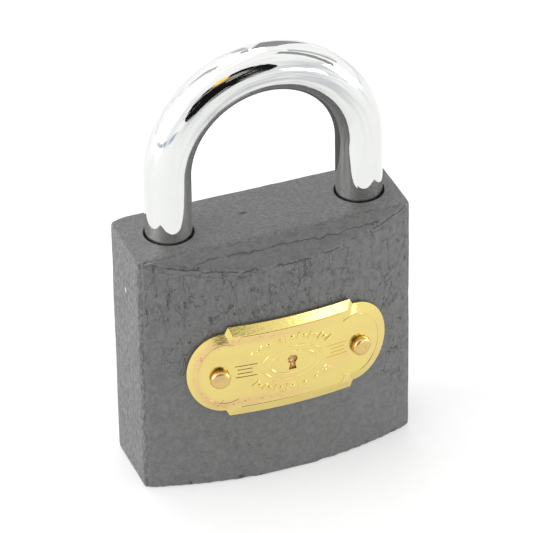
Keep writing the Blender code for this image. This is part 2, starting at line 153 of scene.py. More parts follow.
# %% Helpers for working in edit mode
PICK_MODES = {"verts": "VERT", "edges": "EDGE", "faces": "FACE"}
NEAR_NOTHING = 0.01 * MM


def start_edit(piece):
    activate(piece)
    bpy.ops.object.mode_set(mode="EDIT")
    bpy.ops.mesh.select_all(action="SELECT")


def end_edit():
    bpy.ops.object.mode_set(mode="OBJECT")


def face_out():
    """Turns every face of the piece outwards."""
    bpy.ops.mesh.select_all(action="SELECT")
    bpy.ops.mesh.normals_make_consistent(inside=False)


def pick(piece, kind, test):
    """In edit mode, selects only the verts, edges or faces that pass a test."""
    bpy.ops.mesh.select_mode(type=PICK_MODES[kind])
    bpy.ops.mesh.select_all(action="DESELECT")
    cage = bmesh.from_edit_mesh(piece.data)
    found = [part for part in getattr(cage, kind) if test(part)]
    for part in found:
        part.select_set(True)
    cage.select_flush_mode()
    bmesh.update_edit_mesh(piece.data)
    return len(found)


def extrude(x, y, z):
    """Extrudes what is picked, and moves the new part."""
    move = {"value": (x, y, z)}
    bpy.ops.mesh.extrude_region_move(TRANSFORM_OT_translate=move)


def pull(distance, spread=1.0, centre=None):
    """Extrudes the picked face upwards, and may then widen or narrow it."""
    extrude(0.0, 0.0, distance)
    if centre is not None:
        bpy.ops.transform.resize(value=(spread, spread, 1.0), center_override=centre)


# %% Helpers for finishing a piece
def apply_modifier(piece, kind, **settings):
    """Adds a modifier, sets it and applies it."""
    activate(piece)
    modifier = piece.modifiers.new(kind.title(), kind)
    for name, value in settings.items():
        setattr(modifier, name, value)
    bpy.ops.object.modifier_apply(modifier=modifier.name)


def combine(piece, other, operation="DIFFERENCE"):
    """Cuts another piece away, or joins it on, and removes it."""
    apply_modifier(piece, "BOOLEAN", object=other, operation=operation, solver="EXACT")
    bpy.data.objects.remove(other, do_unlink=True)


def shade(piece, angle):
    """Smooth faces, with a hard line kept wherever the surface turns by more than the angle."""
    activate(piece)
    bpy.ops.object.shade_smooth_by_angle(angle=math.radians(angle))


def open_edges(piece):
    """How many edges don't join exactly two faces; a closed piece has none."""
    cage = bmesh.new()
    cage.from_mesh(piece.data)
    count = sum(not edge.is_manifold for edge in cage.edges)
    cage.free()
    return count


def tell(label, piece):
    print(f"{label}: {len(piece.data.polygons)} faces, {open_edges(piece)} open edges")


def coat(piece, material):
    """Gives a piece one material and no other."""
    piece.data.materials.clear()
    piece.data.materials.append(material)


def finish_piece(piece, body, material, node):
    """Says what a piece moves with, stands for and is made of."""
    coat(piece, material)
    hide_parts(node)
    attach(piece, body)
    tell(f"{piece.name} on {body}", piece)


def middle_of(node):
    """The middle of a CAD node's box, as three numbers."""
    low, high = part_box(node)
    return [(a + b) / 2 for a, b in zip(low, high)]


# %% [markdown]
# ## Shader sums as Python expressions
#
# A finish is mostly arithmetic on patterns: this crack times that mask, plus a little noise.
# Wired one node at a time, such sums are hard to read. So a small class wraps a socket, and
# Python's own operators add the Math nodes. Any other node comes from one method, which sets
# the node's own settings first and then fills or links its sockets.

# %% A socket that can be added and multiplied
class Wire:
    """The output socket of a node, which Python arithmetic works on."""

    def __init__(self, finish, socket):
        self.finish = finish
        self.socket = socket

    def sum(self, operation, *values):
        sockets = dict(enumerate(values))
        return self.finish.node("ShaderNodeMath", {"operation": operation}, sockets)

    def __add__(self, other):
        return self.sum("ADD", self, other)

    def __sub__(self, other):
        return self.sum("SUBTRACT", self, other)

    def __rsub__(self, other):
        return self.sum("SUBTRACT", other, self)

    def __mul__(self, other):
        return self.sum("MULTIPLY", self, other)

    def __truediv__(self, other):
        return self.sum("DIVIDE", self, other)

    def __abs__(self):
        return self.sum("ABSOLUTE", self)

    def max(self, other):
        return self.sum("MAXIMUM", self, other)

    def min(self, other):
        return self.sum("MINIMUM", self, other)

    def step(self, low, high):
        """0 below low and 1 above high, with a smooth rise between. low may be above high."""
        sockets = {"Value": self, "From Min": low, "From Max": high}
        settings = {"interpolation_type": "SMOOTHSTEP"}
        return self.finish.node("ShaderNodeMapRange", settings, sockets)

    __radd__ = __add__
    __rmul__ = __mul__


# %% A material that nodes are added to
class Finish:
    """A material under construction. Everything fixed goes on the shader's own sockets."""

    def __init__(self, name, **constants):
        self.material = bpy.data.materials.new(name)
        self.material.use_nodes = True
        self.tree = self.material.node_tree
        self.shader = self.tree.nodes["Principled BSDF"]
        for socket, value in constants.items():
            self.shader.inputs[socket.replace("_", " ")].default_value = value
        self.place = self.node("ShaderNodeTexCoord", output="Object")

    def node(self, kind, settings=None, sockets=None, output=0):
        """Adds one node: its settings first, then its sockets' values or links."""
        node = self.tree.nodes.new(kind)
        for name, value in (settings or {}).items():
            setattr(node, name, value)
        for name, value in (sockets or {}).items():
            if isinstance(value, Wire):
                self.tree.links.new(value.socket, node.inputs[name])
            else:
                node.inputs[name].default_value = value
        return Wire(self, node.outputs[output])

    def feed(self, socket, wire):
        self.tree.links.new(wire.socket, self.shader.inputs[socket])

    def xyz(self):
        """The three object coordinates as wires, in metres."""
        return [self.node("ShaderNodeSeparateXYZ", {}, {0: self.place}, n) for n in range(3)]

    def joined(self, x, y, z):
        """Three wires or numbers as one vector."""
        return self.node("ShaderNodeCombineXYZ", {}, {0: x, 1: y, 2: z})

    def stretched(self, x, y, z):
        """The object coordinates, scaled by a factor along each axis."""
        return self.node("ShaderNodeMapping", {}, {"Vector": self.place, "Scale": (x, y, z)})

    def noise(self, size, detail=2.0, place=None, roughness=0.5, output=0):
        """Noise from 0 to 1 whose lumps are about the given size in metres."""
        sockets = {
            "Vector": place or self.place,
            "Scale": 1.0 / size,
            "Detail": detail,
            "Roughness": roughness,
        }
        return self.node("ShaderNodeTexNoise", {}, sockets, output)

    def shaken(self, place, size, amount):
        """A place pushed about by noise, which makes straight patterns ragged."""
        push = self.noise(size, 3.0, place, output=1)
        centred = self.vector("SUBTRACT", push, (0.5, 0.5, 0.5))
        return self.vector("ADD", place, self.vector("SCALE", centred, amount))

    def vector(self, operation, first, second):
        """Vector maths. SCALE takes a number as its second value."""
        sockets = {0: first, ("Scale" if operation == "SCALE" else 1): second}
        return self.node("ShaderNodeVectorMath", {"operation": operation}, sockets)

    def length(self, vector):
        return self.node("ShaderNodeVectorMath", {"operation": "LENGTH"}, {0: vector}, 1)

    def mix(self, amount, first, second):
        """One colour turning into another as the amount goes from 0 to 1."""
        colours = {6: first, 7: second}
        for socket, value in colours.items():
            if not isinstance(value, Wire):
                colours[socket] = (*value, 1.0)
        return self.node("ShaderNodeMix", {"data_type": "RGBA"}, {0: amount, **colours}, 2)

    def bump(self, height, depth, strength=1.0):
        """Feeds a height from 0 to 1, standing for a depth in metres, to the normal."""
        sockets = {"Height": height, "Distance": depth, "Strength": strength}
        self.feed("Normal", self.node("ShaderNodeBump", {}, sockets))


# %% [markdown]
# ## Crackle paint
#
# The body wears a thick grey lacquer that shrinks as it dries and opens in fine dark cracks.
# On the broad faces the cracks run mostly up and down and are thickest in the upper half. On
# the narrow sides the film is drawn out like leather, the flat top has a grain along it, and
# below each sloping shoulder the film has torn in long ragged lines.
#
# Voronoi's distance to the nearest cell edge draws a net of lines. Shaking the coordinates with
# noise first makes the lines ragged, and a mask of broader noise breaks the net up, because
# real cracks stop and start.

# %% Cracks, tears and grain
def crack_net(finish, place, cell, line, shake):
    """A net of ragged lines, 1 on a line and 0 away from it. line is a share of the cell."""
    ragged = finish.shaken(place, cell * 0.6, shake)
    settings = {"feature": "DISTANCE_TO_EDGE"}
    edge = finish.node("ShaderNodeTexVoronoi", settings, {"Vector": ragged, "Scale": 1.0 / cell})
    return edge.step(line, 0.0)


def face_cracks(paint, upper):
    """Cracks of three sizes, thick in patches of the upper half and rare below it."""
    upright = paint.stretched(1.0, 1.0, 0.36)
    patches = paint.noise(6 * MM, 3.0, roughness=0.6) + upper * 0.30
    coarse = crack_net(paint, upright, 2.1 * MM, 0.042, 2.2 * MM) * patches.step(0.55, 0.80)
    middle = crack_net(paint, upright, 1.2 * MM, 0.060, 1.5 * MM) * patches.step(0.58, 0.90)
    fine = crack_net(paint, upright, 0.62 * MM, 0.10, 0.7 * MM) * patches.step(0.40, 1.0)
    broken = paint.noise(1.7 * MM, 3.0, roughness=0.6).step(0.43, 0.54)
    thin = paint.noise(0.9 * MM, 2.0).step(0.50, 0.62)
    return (coarse * (broken * 0.80 + 0.15)).max(middle * broken * 0.6).max(fine * thin * 0.38)


def torn_line(paint, distance, wander, size):
    """A ragged line where a distance is about zero, wandering to both sides of it."""
    wobble = (paint.noise(size, 4.0, roughness=0.6) - 0.5) * wander
    line = abs(distance + wobble).step(0.18 * MM, 0.04 * MM)
    return line * paint.noise(size * 1.4, 3.0).step(0.38, 0.50)


def mark(paint, spot, size):
    """A small ragged blot at one place, 1 inside and 0 outside. size is its half extents."""
    offset = paint.vector("SUBTRACT", paint.shaken(paint.place, 0.5 * MM, 0.5 * MM), spot)
    return paint.length(paint.vector("DIVIDE", offset, size)).step(1.0, 0.5)


# %% [markdown]
# The paint isn't the same all over, so a few masks tell its places apart: the narrow sides, the
# flat top, the sloping shoulders, and how far up the broad faces a point lies. Each mask is 1 in
# its place and 0 elsewhere, and multiplying a pattern by it keeps the pattern there.

# %% Where on the body a point lies
class Places:
    """Masks for the sides, top, upper half and shoulders, worked out from the coordinates."""

    def __init__(self, paint):
        x, y, self.z = paint.xyz()
        self.side = abs(x).step(WIDTH / 2 - 1.2 * MM, WIDTH / 2 - 0.5 * MM)
        self.top = self.z.step(HEIGHT - 0.45 * MM, HEIGHT - 0.2 * MM)
        self.upper = (self.z + x.max(0.0) * 0.6).step(14 * MM, 36 * MM)
        self.past_top = abs(y - MID_Y) - SHOULDER_HALF
        self.over_slope = self.z - HEIGHT + self.past_top * SHOULDER_SLOPE
        self.shoulder = self.over_slope.step(-0.35 * MM, -0.1 * MM) * (1 - self.top)


def shoulder_tears(paint, at):
    """Torn lines on the shoulders and just below them, and a faint one along the top's brink."""
    tears = torn_line(paint, at.over_slope + 0.5 * MM, 1.9 * MM, 2.2 * MM)
    below = torn_line(paint, at.over_slope + 1.5 * MM, 3.4 * MM, 3.1 * MM)
    between = torn_line(paint, at.past_top - 1.7 * MM, 2.0 * MM, 2.6 * MM)
    tears = tears.max(below * 0.5).max(between * at.shoulder * 0.85)
    near_top = at.z.step(HEIGHT - 9 * MM, HEIGHT - 6 * MM) * (1 - at.side * 0.7)
    wobble = (paint.noise(2 * MM, 3.0) - 0.5) * MM
    brink = abs(at.past_top + wobble).step(0.6 * MM, 0.1 * MM) * (1 - at.side)
    brink = brink * at.z.step(HEIGHT - 1.2 * MM, HEIGHT - 0.6 * MM)
    return (tears * near_top * (1 - at.top * 0.75)).max(brink * 0.32)


# %% Make the crackle paint
CHIP_SPOT, CHIP_SIZE = (-WIDTH / 2, MID_Y - 0.4 * MM, 37.8 * MM), (MM, 0.34 * MM, 0.7 * MM)
SCUFF_SPOT = (-23.0 * MM, MID_Y - 7.4 * MM, HEIGHT - 0.5 * MM)
SCUFF_SIZE = (1.6 * MM, 0.25 * MM, 0.3 * MM)
NICK_SPOT, NICK_SIZE = (-3.0 * MM, MID_Y + 0.5 * MM, HEIGHT), (1.1 * MM, 0.40 * MM, MM)
DARK_GREY, LIGHT_GREY = (0.068, 0.069, 0.069), (0.138, 0.140, 0.136)
# The darker of the next two greys is painted shade for the sloping shoulders.
# The lighter of the next two greys is a painted highlight on the rounded vertical corners.
CORNER_HIGHLIGHT_GREY, SHOULDER_SHADE_GREY = (0.19, 0.19, 0.185), (0.062, 0.062, 0.061)
CRACK_GREY, NICK_BLACK, BARE_METAL = (0.030,) * 3, (0.015,) * 3, (0.50, 0.51, 0.49)
PAINT_RELIEF = 0.08 * MM


def make_crackle_paint():
    """The marks come first, then the greys they lie on, and last the chips and the relief."""
    paint = Finish("grey crackle lacquer", Coat_Weight=0.12, Coat_Roughness=0.45)
    at = Places(paint)
    side, top, shoulder = at.side, at.top, at.shoulder
    cracks = face_cracks(paint, at.upper) * (1 - side) * (1 - top) * (1 - shoulder * 0.75)
    leather = crack_net(paint, paint.stretched(1.0, 1.0, 0.40), 0.75 * MM, 0.12, 1.5 * MM)
    streaks = paint.noise(0.48 * MM, 3.0, paint.stretched(1.0, 1.0, 0.40), 0.75)
    grain = paint.noise(0.48 * MM, 3.0, paint.stretched(0.45, 1.0, 1.0), 0.75)
    scabs = paint.noise(1.2 * MM, 3.0).step(0.60, 0.66) * at.z.step(1.5 * MM, 0.5 * MM)
    marks = cracks.max(shoulder_tears(paint, at)).max(leather * side * 0.42).max(scabs)
    marks = marks.max(grain.step(0.52, 0.61) * (top + shoulder * 0.5) * 0.6)

    speck = paint.noise(0.45 * MM, 3.0, roughness=0.8)
    mottle = paint.noise(1.1 * MM, 4.0, roughness=0.65)
    tone = mottle * 0.45 + speck * 0.55
    tone = tone + (streaks - 0.5) * side * 2.2 + (grain - 0.5) * top * 4.0
    plain = paint.mix(tone.step(0.27, 0.73), DARK_GREY, LIGHT_GREY)
    # Painted highlight: a lighter line down each rounded vertical corner, where light catches it.
    highlighted_corners = paint.mix(side * (1 - side) * (1 - top), plain, CORNER_HIGHLIGHT_GREY)
    # Painted shade: the sloping shoulders are darkened, as they face the light less than the flat
    # top.
    shaded = paint.mix(shoulder * 0.40, highlighted_corners, SHOULDER_SHADE_GREY)
    cracked = paint.mix(marks, shaded, CRACK_GREY)
    chips = mark(paint, CHIP_SPOT, CHIP_SIZE).max(mark(paint, SCUFF_SPOT, SCUFF_SIZE) * 0.2)
    nick = mark(paint, NICK_SPOT, NICK_SIZE)
    chipped = paint.mix(chips, cracked, BARE_METAL)
    paint.feed("Base Color", paint.mix(nick, chipped, NICK_BLACK))
    paint.feed("Roughness", speck * 0.25 + 0.38 + marks * 0.2)
    height = (1 - marks) + mottle * 0.30 + speck * 0.20
    paint.bump(height + streaks * side * 0.6 + grain * top * 0.5 - nick, PAINT_RELIEF)
    return paint.material


crackle_paint = make_crackle_paint()

# %% [markdown]
# ## Bright chrome
#
# Polished chrome is almost only reflection, so its own pattern stays faint: fine lines left by
# the polishing belt, and a slow waviness of the bent steel under the plating. The lines follow
# the rod over the arch. Distance from the arch's centre tells how far out a point lies, and it
# stays the same along the bend, so noise laid out over that distance and the depth, and hardly
# at all over the way along the rod, draws lines that bend with it. The arch's left half is also
# scuffed, which dulls the plating there.

# %% Follow the bent rod
def along_the_rod(chrome):
    """Coordinates that run across the rod in two directions and slowly along it."""
    x, y, z = chrome.xyz()
    over = (z - ARCH_BASE_Z).max(0.0)
    out = chrome.length(chrome.joined(x - CORE_X, 0.0, over))
    way = over.sum("ARCTAN2", over, x - CORE_X) * (0.8 * MM) + z.min(ARCH_BASE_Z) * 0.05
    return chrome.joined(out, y, way)


# %% Make the chrome
CLEAN_CHROME, SMEARED_CHROME = (0.770, 0.780, 0.765), (0.745, 0.755, 0.745)
WORN_CHROME = (0.42, 0.43, 0.45)
CHROME_RELIEF = 0.10 * MM


def make_chrome():
    chrome = Finish("bright chrome plate", Metallic=1.0)
    along = along_the_rod(chrome)
    x, _, z = chrome.xyz()
    arch = z.step(ARCH_BASE_Z, ARCH_BASE_Z + 16 * MM)
    lines = chrome.noise(0.5 * MM, 4.0, along, 0.65).step(0.52, 0.74)
    bands = chrome.noise(1.5 * MM, 3.0, along, 0.6).step(0.50, 0.70)
    smears = chrome.noise(2.4 * MM, 3.0, roughness=0.6).step(0.45, 0.8)
    worn = (bands * 0.75 + lines * 0.5) * (arch * 0.92 + 0.08)
    clean = chrome.mix(smears, CLEAN_CHROME, SMEARED_CHROME)
    chrome.feed("Base Color", chrome.mix(worn, clean, WORN_CHROME))
    scuffs = chrome.noise(0.7 * MM, 4.0, along, 0.7).step(0.47, 0.60) * arch
    scuffs = scuffs * (x - CORE_X).step(2 * MM, -6 * MM)
    chrome.feed("Roughness", scuffs * 0.34 + lines * 0.06 + smears * 0.03 + 0.03)
    waves = chrome.noise(5.0 * MM, 2.0)
    chrome.bump(waves + lines * 0.05 + scuffs * 0.03, CHROME_RELIEF, 0.5)
    return chrome.material


bright_chrome = make_chrome()

# %% [markdown]
# ## Brass, in three states
#
# The plate is thin brass sheet, stamped and lacquered while bright, and it has begun to tarnish
# where fingers and damp reach it: in brown flecks, in a pinkish ring inside the rim, strongest
# at the left, and in the pressed keyhole. The rivet heads are worn pinker, and the plug and its
# pins are duller turned brass. The same two functions make all three, because only their colours
# and amounts of tarnish differ.

# %% Brass and its tarnish
BROWN_FLECK = (0.38, 0.20, 0.07)


def start_brass(name, bright, dull, tarnish, flecks, stain=None):
    """Brass with clouds of tarnish and brown flecks. A stain mask adds more of both."""
    brass = Finish(name, Metallic=1.0)
    cloud = brass.noise(5.0 * MM, 3.0).step(0.45, 0.75)
    speckle = brass.noise(0.55 * MM, 3.0, roughness=0.7)
    extra = stain(brass) if stain else 0.0
    spots = (speckle + cloud * 0.10 + extra * 0.10).step(0.72, 0.80) * flecks
    tinted = brass.mix(cloud * tarnish + extra * 0.7, bright, dull)
    brass.feed("Base Color", brass.mix(spots, tinted, BROWN_FLECK))
    return brass, cloud, speckle, spots


def finish_brass(brass, cloud, speckle, spots, roughness, depth):
    pores = brass.noise(0.18 * MM, 2.0)
    brass.feed("Roughness", cloud * 0.06 + spots * 0.35 + pores * 0.06 + roughness)
    brass.bump(pores * 0.2 + speckle * 0.5 - spots * 0.5, depth)
    return brass.material


def rim_stain(brass):
    """Strongest in the pressed keyhole, and then in a ring inside the rim, towards the left."""
    x, y, z = brass.xyz()
    low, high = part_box("cover_plate")
    front, lobe_reach = low.y, (high.x - low.x) / 2 - LOBE_X
    centre_x, _, centre_z = middle_of("cover_plate")
    from_lobe = (x - (centre_x - LOBE_X)).min(0.0) / lobe_reach
    reach = brass.length(brass.joined(from_lobe, (z - centre_z) / LOBE_HALF, 0.0))
    ring = abs(reach - 0.80).step(0.16, 0.03) * (x - centre_x).step(12 * MM, -8 * MM)
    near = abs(x - centre_x).step(1.6 * MM, 1.4 * MM) * abs(z - centre_z).step(2.4 * MM, 2.2 * MM)
    sunk = y.step(front + 0.10 * MM, front + 0.30 * MM)
    return ring.max(sunk * near * 3.0)


# %% Make the brasses
plate_parts = start_brass(
    "stamped brass",
    bright=(0.77, 0.628, 0.217),
    dull=(0.74, 0.51, 0.24),
    tarnish=0.35,
    flecks=0.9,
    stain=rim_stain,
)
plate_brass = finish_brass(*plate_parts, roughness=0.12, depth=0.035 * MM)

rivet_parts = start_brass(
    "worn rivet brass",
    bright=(0.68, 0.49, 0.19),
    dull=(0.56, 0.36, 0.20),
    tarnish=0.8,
    flecks=0.8,
)
rivet_brass = finish_brass(*rivet_parts, roughness=0.27, depth=0.05 * MM)

turned_parts = start_brass(
    "turned brass",
    bright=(0.82, 0.62, 0.27),
    dull=(0.66, 0.46, 0.22),
    tarnish=0.6,
    flecks=0.4,
)
turned_brass = finish_brass(*turned_parts, roughness=0.24, depth=0.03 * MM)

# %% [markdown]
# ## Steels inside the lock
#
# Pins, bolt and springs are plain steel with a film of oil. They are only seen when the shackle
# is up or the lock is cut open, but each still gets fine turning lines and darker oil.

# %% Make the steels
def make_steel(name, colour, oil, line, roughness):
    steel = Finish(name, Metallic=1.0)
    lines = steel.noise(line, 4.0, steel.stretched(1.0, 0.3, 0.3), 0.7)
    film = steel.noise(1.8 * MM, 3.0).step(0.45, 0.7)
    steel.feed("Base Color", steel.mix(film, colour, oil))
    steel.feed("Roughness", lines * 0.2 + roughness - film * 0.08)
    steel.bump(lines, 0.01 * MM)
    return steel.material


plain_steel = make_steel(
    "oiled turned steel",
    colour=(0.55, 0.56, 0.57),
    oil=(0.36, 0.34, 0.31),
    line=0.25 * MM,
    roughness=0.28,
)
spring_steel = make_steel(
    "drawn spring wire",
    colour=(0.45, 0.46, 0.47),
    oil=(0.28, 0.27, 0.26),
    line=0.12 * MM,
    roughness=0.3,
)

# %% [markdown]
# ## The body casting
#
# The broad faces are arcs of a very large circle, so the quickest true way to them is to start
# from a block of the body's size and keep only what it shares with two big cylinders. Two
# bisecting planes then slope the shoulders. A real casting under thick paint has no sharp edges
# anywhere, least of all at the thin ends of the shoulders, where a bevel operator would fold
# over itself. So the edges are rounded another way: a voxel remesh gives an even skin, and
# smoothing that skin rounds every edge alike. A little broad noise then unsettles the flats.

# %% Shape the body's outside
DRUM_SIDES = 1440
VOXEL = 0.40 * MM
SMOOTH_ROUNDS = 9


def make_casting():
    casting = add_block("body_casting", body_low, body_high)
    for side in (-1, 1):
        centre = (0.0, MID_Y - side * (CROWN_RADIUS - DEPTH / 2), HEIGHT / 2)
        size = {"vertices": DRUM_SIDES, "radius": CROWN_RADIUS, "depth": 2 * HEIGHT}
        drum = add("cylinder", "drum", location=centre, **size)
        settle(drum)
        combine(casting, drum, "INTERSECT")
    start_edit(casting)
    for side in (-1, 1):
        edge = (0.0, MID_Y + side * SHOULDER_HALF, HEIGHT)
        outward = (0.0, side * SHOULDER_SLOPE, 1.0)
        bpy.ops.mesh.select_all(action="SELECT")
        bpy.ops.mesh.bisect(plane_co=edge, plane_no=outward, use_fill=True, clear_outer=True)
    end_edit()
    apply_modifier(casting, "REMESH", mode="VOXEL", voxel_size=VOXEL)
    apply_modifier(casting, "SMOOTH", factor=0.5, iterations=SMOOTH_ROUNDS)
    return casting


def unsettle(piece, size, amount):
    """Pushes a surface in and out by soft noise, as on a rough casting."""
    lumps = bpy.data.textures.new("lumps", "CLOUDS")
    lumps.noise_scale = size
    settings = {"texture": lumps, "texture_coords": "LOCAL", "strength": amount, "mid_level": 0.5}
    apply_modifier(piece, "DISPLACE", **settings)


casting = make_casting()
unsettle(casting, 6.0 * MM, 0.16 * MM)
unsettle(casting, 1.6 * MM, 0.05 * MM)
print("body skin:", len(casting.data.polygons), "faces")

# %% [markdown]
# Now the bores go in: two for the legs, one from below for the plug, one from the side for the
# bolt, and the small ones under the plate. Bores that don't meet are joined into one cutter
# first, because three cuts through the fine skin are much quicker than thirteen. The cutters
# for the leg bores flare where they leave the top, which leaves a broken edge round each hole.

# %% Cutters for the bores
plug_low, plug_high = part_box("cylinder_plug")
bolt_low, bolt_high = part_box("locking_bolt")
PLUG_X, PLUG_Y, _ = middle_of("cylinder_plug")
PLUG_RADIUS = (plug_high.x - plug_low.x) / 2
BOLT_Z = middle_of("locking_bolt")[2]
BOLT_RADIUS = (bolt_high.z - bolt_low.z) / 2
RUNNING_GAP = 0.3 * MM
PIN_GAP = 0.25 * MM
MOUTH_BREAK = 0.08 * MM
CRANK_WELL_RADIUS = 3.5 * MM
PINS = range(1, 5)


def drill(name, radius, start, end, sides=64):
    """A straight round cutter between two points."""
    start, end = Vector(start), Vector(end)
    run = end - start
    turn = run.to_track_quat("Z", "Y").to_euler()
    size = {"vertices": sides, "radius": radius, "depth": run.length}
    cutter = add("cylinder", name, location=(start + end) / 2, rotation=turn, **size)
    settle(cutter)
    return cutter


def leg_drill(name, x, floor):
    """A leg's bore, with its mouth broken by a short cone."""
    centre = (x, MID_Y, floor)
    cutter = add_disc(name, 96, LEG_BORE, centre)
    start_edit(cutter)
    pull(HEIGHT - MOUTH_BREAK - floor)
    pull(2 * MOUTH_BREAK, 1 + 2 * MOUTH_BREAK / LEG_BORE, centre)
    pull(MM)
    face_out()
    end_edit()
    return cutter


def front_drill(node, extra, past):
    """A hole for a pin that lies along Y, out through the front face."""
    low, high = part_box(node)
    radius = (high.z - low.z) / 2 + extra
    x, _, z = middle_of(node)
    return drill(f"{node}_hole", radius, (x, high.y + past, z), (x, body_low.y - MM, z), 30)


def join(pieces):
    """Makes one object of several that don't meet."""
    activate(pieces[0])
    for piece in pieces:
        piece.select_set(True)
    bpy.ops.object.join()
    return pieces[0]


# %% Where a rivet stands on the crowned face
RIVET_SPACING = 25.6 * MM
RIVET_Z = middle_of("plate_rivet_left")[2]
SHANK_RADIUS = 0.95 * MM
SHANK_LENGTH = 5.6 * MM


def rivet_spot(side):
    """The point of the crowned face under a rivet, and the direction straight out of it."""
    x = CORE_X + side * RIVET_SPACING / 2
    lean = math.asin(x / CROWN_RADIUS)
    crown = math.sqrt(CROWN_RADIUS**2 - x**2) - CROWN_RADIUS + DEPTH / 2
    return Vector((x, MID_Y - crown, RIVET_Z)), Vector((math.sin(lean), -math.cos(lean), 0.0))


def rivet_drill(side):
    face, out = rivet_spot(side)
    start, end = face - out * SHANK_LENGTH, face + out * MM
    return drill("rivet_hole", SHANK_RADIUS + RUNNING_GAP, start, end, 32)


# %% Drill the body
def upright_bores():
    heel_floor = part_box("shackle_spring")[0].z - RUNNING_GAP
    well = (PLUG_X, PLUG_Y, plug_high.z + RUNNING_GAP)
    yield leg_drill("heel_bore", HEEL_X, heel_floor)
    yield leg_drill("toe_bore", TOE_X, TOE_END_Z - MM)
    yield drill("plug_bore", PLUG_RADIUS + RUNNING_GAP, (PLUG_X, PLUG_Y, -MM), well, 96)


def level_bores():
    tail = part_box("bolt_spring")[0].x - RUNNING_GAP
    start, end = (tail, MID_Y, BOLT_Z), (body_high.x + MM, MID_Y, BOLT_Z)
    yield drill("bolt_bore", BOLT_RADIUS + RUNNING_GAP, start, end)
    for number in PINS:
        yield front_drill(f"driver_pin_{number}", PIN_GAP, MM)
    yield front_drill("shackle_retaining_pin", RUNNING_GAP, RUNNING_GAP)
    yield front_drill("cylinder_retaining_pin", RUNNING_GAP, RUNNING_GAP)
    yield rivet_drill(-1)
    yield rivet_drill(1)


def crank_well():
    """The room above the plug that its drive pin swings in."""
    low, high = plug_high.z - MM, BOLT_Z - 0.5 * MM
    start, end = (PLUG_X, PLUG_Y, low), (PLUG_X, PLUG_Y, high)
    return drill("crank_well", CRANK_WELL_RADIUS, start, end, 50)


for cutter in (join(list(upright_bores())), join(list(level_bores())), crank_well()):
    combine(casting, cutter)
shade(casting, 40)
finish_piece(casting, "case", crackle_paint, "body")

# %% [markdown]
# ## The shackle
#
# The real shackle starts as a straight rod, so this one does too: a disc is pulled up into the
# heel leg, spun half a turn over the arch and pulled down into the toe. The arch stands a
# little taller than a half circle, so all that lies above its foot is then stretched upwards.
# The notch for the bolt and the flat and ring for the retaining pin are cut in last.

# %% Bend the rod
ARCH_RISE = rod_high.z - ROD - ARCH_BASE_Z
HALF_SPACING = (TOE_X - HEEL_X) / 2
TIP_CHAMFER = 0.7 * MM
SHARP = math.radians(69)


def is_toe_face(face):
    return face.calc_center_median().x > CORE_X and len(face.verts) > 4


def is_tip_edge(edge):
    return len(edge.link_faces) == 2 and edge.calc_face_angle(0.0) > SHARP


def make_shackle():
    foot = rod_low.z
    rod = add_disc("shackle_bow", 72, ROD, (HEEL_X, MID_Y, foot))
    start_edit(rod)
    pull(ARCH_BASE_Z - foot)
    centre = (CORE_X, MID_Y, ARCH_BASE_Z)
    bpy.ops.mesh.spin(steps=96, angle=-math.pi, center=centre, axis=(0.0, 1.0, 0.0))
    print("toe faces picked:", pick(rod, "faces", is_toe_face))
    pull(TOE_END_Z - ARCH_BASE_Z)
    arch = pick(rod, "verts", lambda vert: vert.co.z > ARCH_BASE_Z + NEAR_NOTHING)
    print("arch points stretched:", arch)
    rise = (ARCH_RISE + ROD) / (HALF_SPACING + ROD)
    bpy.ops.transform.resize(value=(1.0, 1.0, rise), center_override=centre)
    bpy.ops.mesh.select_all(action="SELECT")
    bpy.ops.mesh.remove_doubles(threshold=NEAR_NOTHING / 10)
    face_out()
    pick(rod, "edges", is_tip_edge)
    bpy.ops.mesh.bevel(offset=TIP_CHAMFER, segments=3, affect="EDGES")
    end_edit()
    return rod


shackle = make_shackle()
tell("bent rod", shackle)

# %% [markdown]
# The toe's notch lies in line with the bolt. The heel's flat is as long as the lift, and ends in
# a ring, so that the raised shackle can turn about its heel without leaving the body.

# %% Cut the notch, flat and ring
pin_low, pin_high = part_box("shackle_retaining_pin")
LIFT = frame["joints"][0]["range_m"][1]
NOTCH_DEPTH = 2.3 * MM
NOTCH_GAP = 0.4 * MM
PAST_ROD = 8 * MM  # a cutter's reach from the rod's middle, well clear of its skin
RING_REACH = 6 * MM


def heel_ring(radius, low, high):
    return drill("ring", radius, (HEEL_X, MID_Y, low), (HEEL_X, MID_Y, high), 72)


def shackle_cutters():
    floor_x = TOE_X - ROD + NOTCH_DEPTH
    half = BOLT_RADIUS + NOTCH_GAP
    low = (floor_x - PAST_ROD, MID_Y - PAST_ROD, BOLT_Z - half)
    yield add_block("notch", low, (floor_x, MID_Y + PAST_ROD, BOLT_Z + half))
    flat_x = pin_low.x - RUNNING_GAP
    flat_low = pin_low.z - LIFT - RUNNING_GAP
    flat_high = pin_high.z + 2 * RUNNING_GAP
    low = (flat_x, MID_Y - PAST_ROD, flat_low)
    yield add_block("flat", low, (flat_x + PAST_ROD, MID_Y + PAST_ROD, flat_high))
    ring_high = flat_low + (pin_high.z - pin_low.z) + 2 * RUNNING_GAP
    ring = heel_ring(RING_REACH, flat_low, ring_high)
    combine(ring, heel_ring(flat_x - HEEL_X, flat_low - MM, ring_high + MM))
    yield ring


for cutter in shackle_cutters():
    combine(shackle, cutter)
shade(shackle, 30)
finish_piece(shackle, "shackle", bright_chrome, "shackle")

# %% [markdown]
# ## The cover plate
#
# The plate is stamped from sheet: its rim slopes down all round to the body, a fine line runs
# inside the rim, and the middle carries raised ornament. It is modelled flat, lying on its back
# at the origin, as the real blank lies in the die.
#
# Its outline is a tall middle with a round lobe at each end. An inset of such an outline folds
# over itself at the inner corners. So the middle and the two lobes each get their own sloping
# rim, and they are joined afterwards: where two slopes meet, the join finds the valley itself.

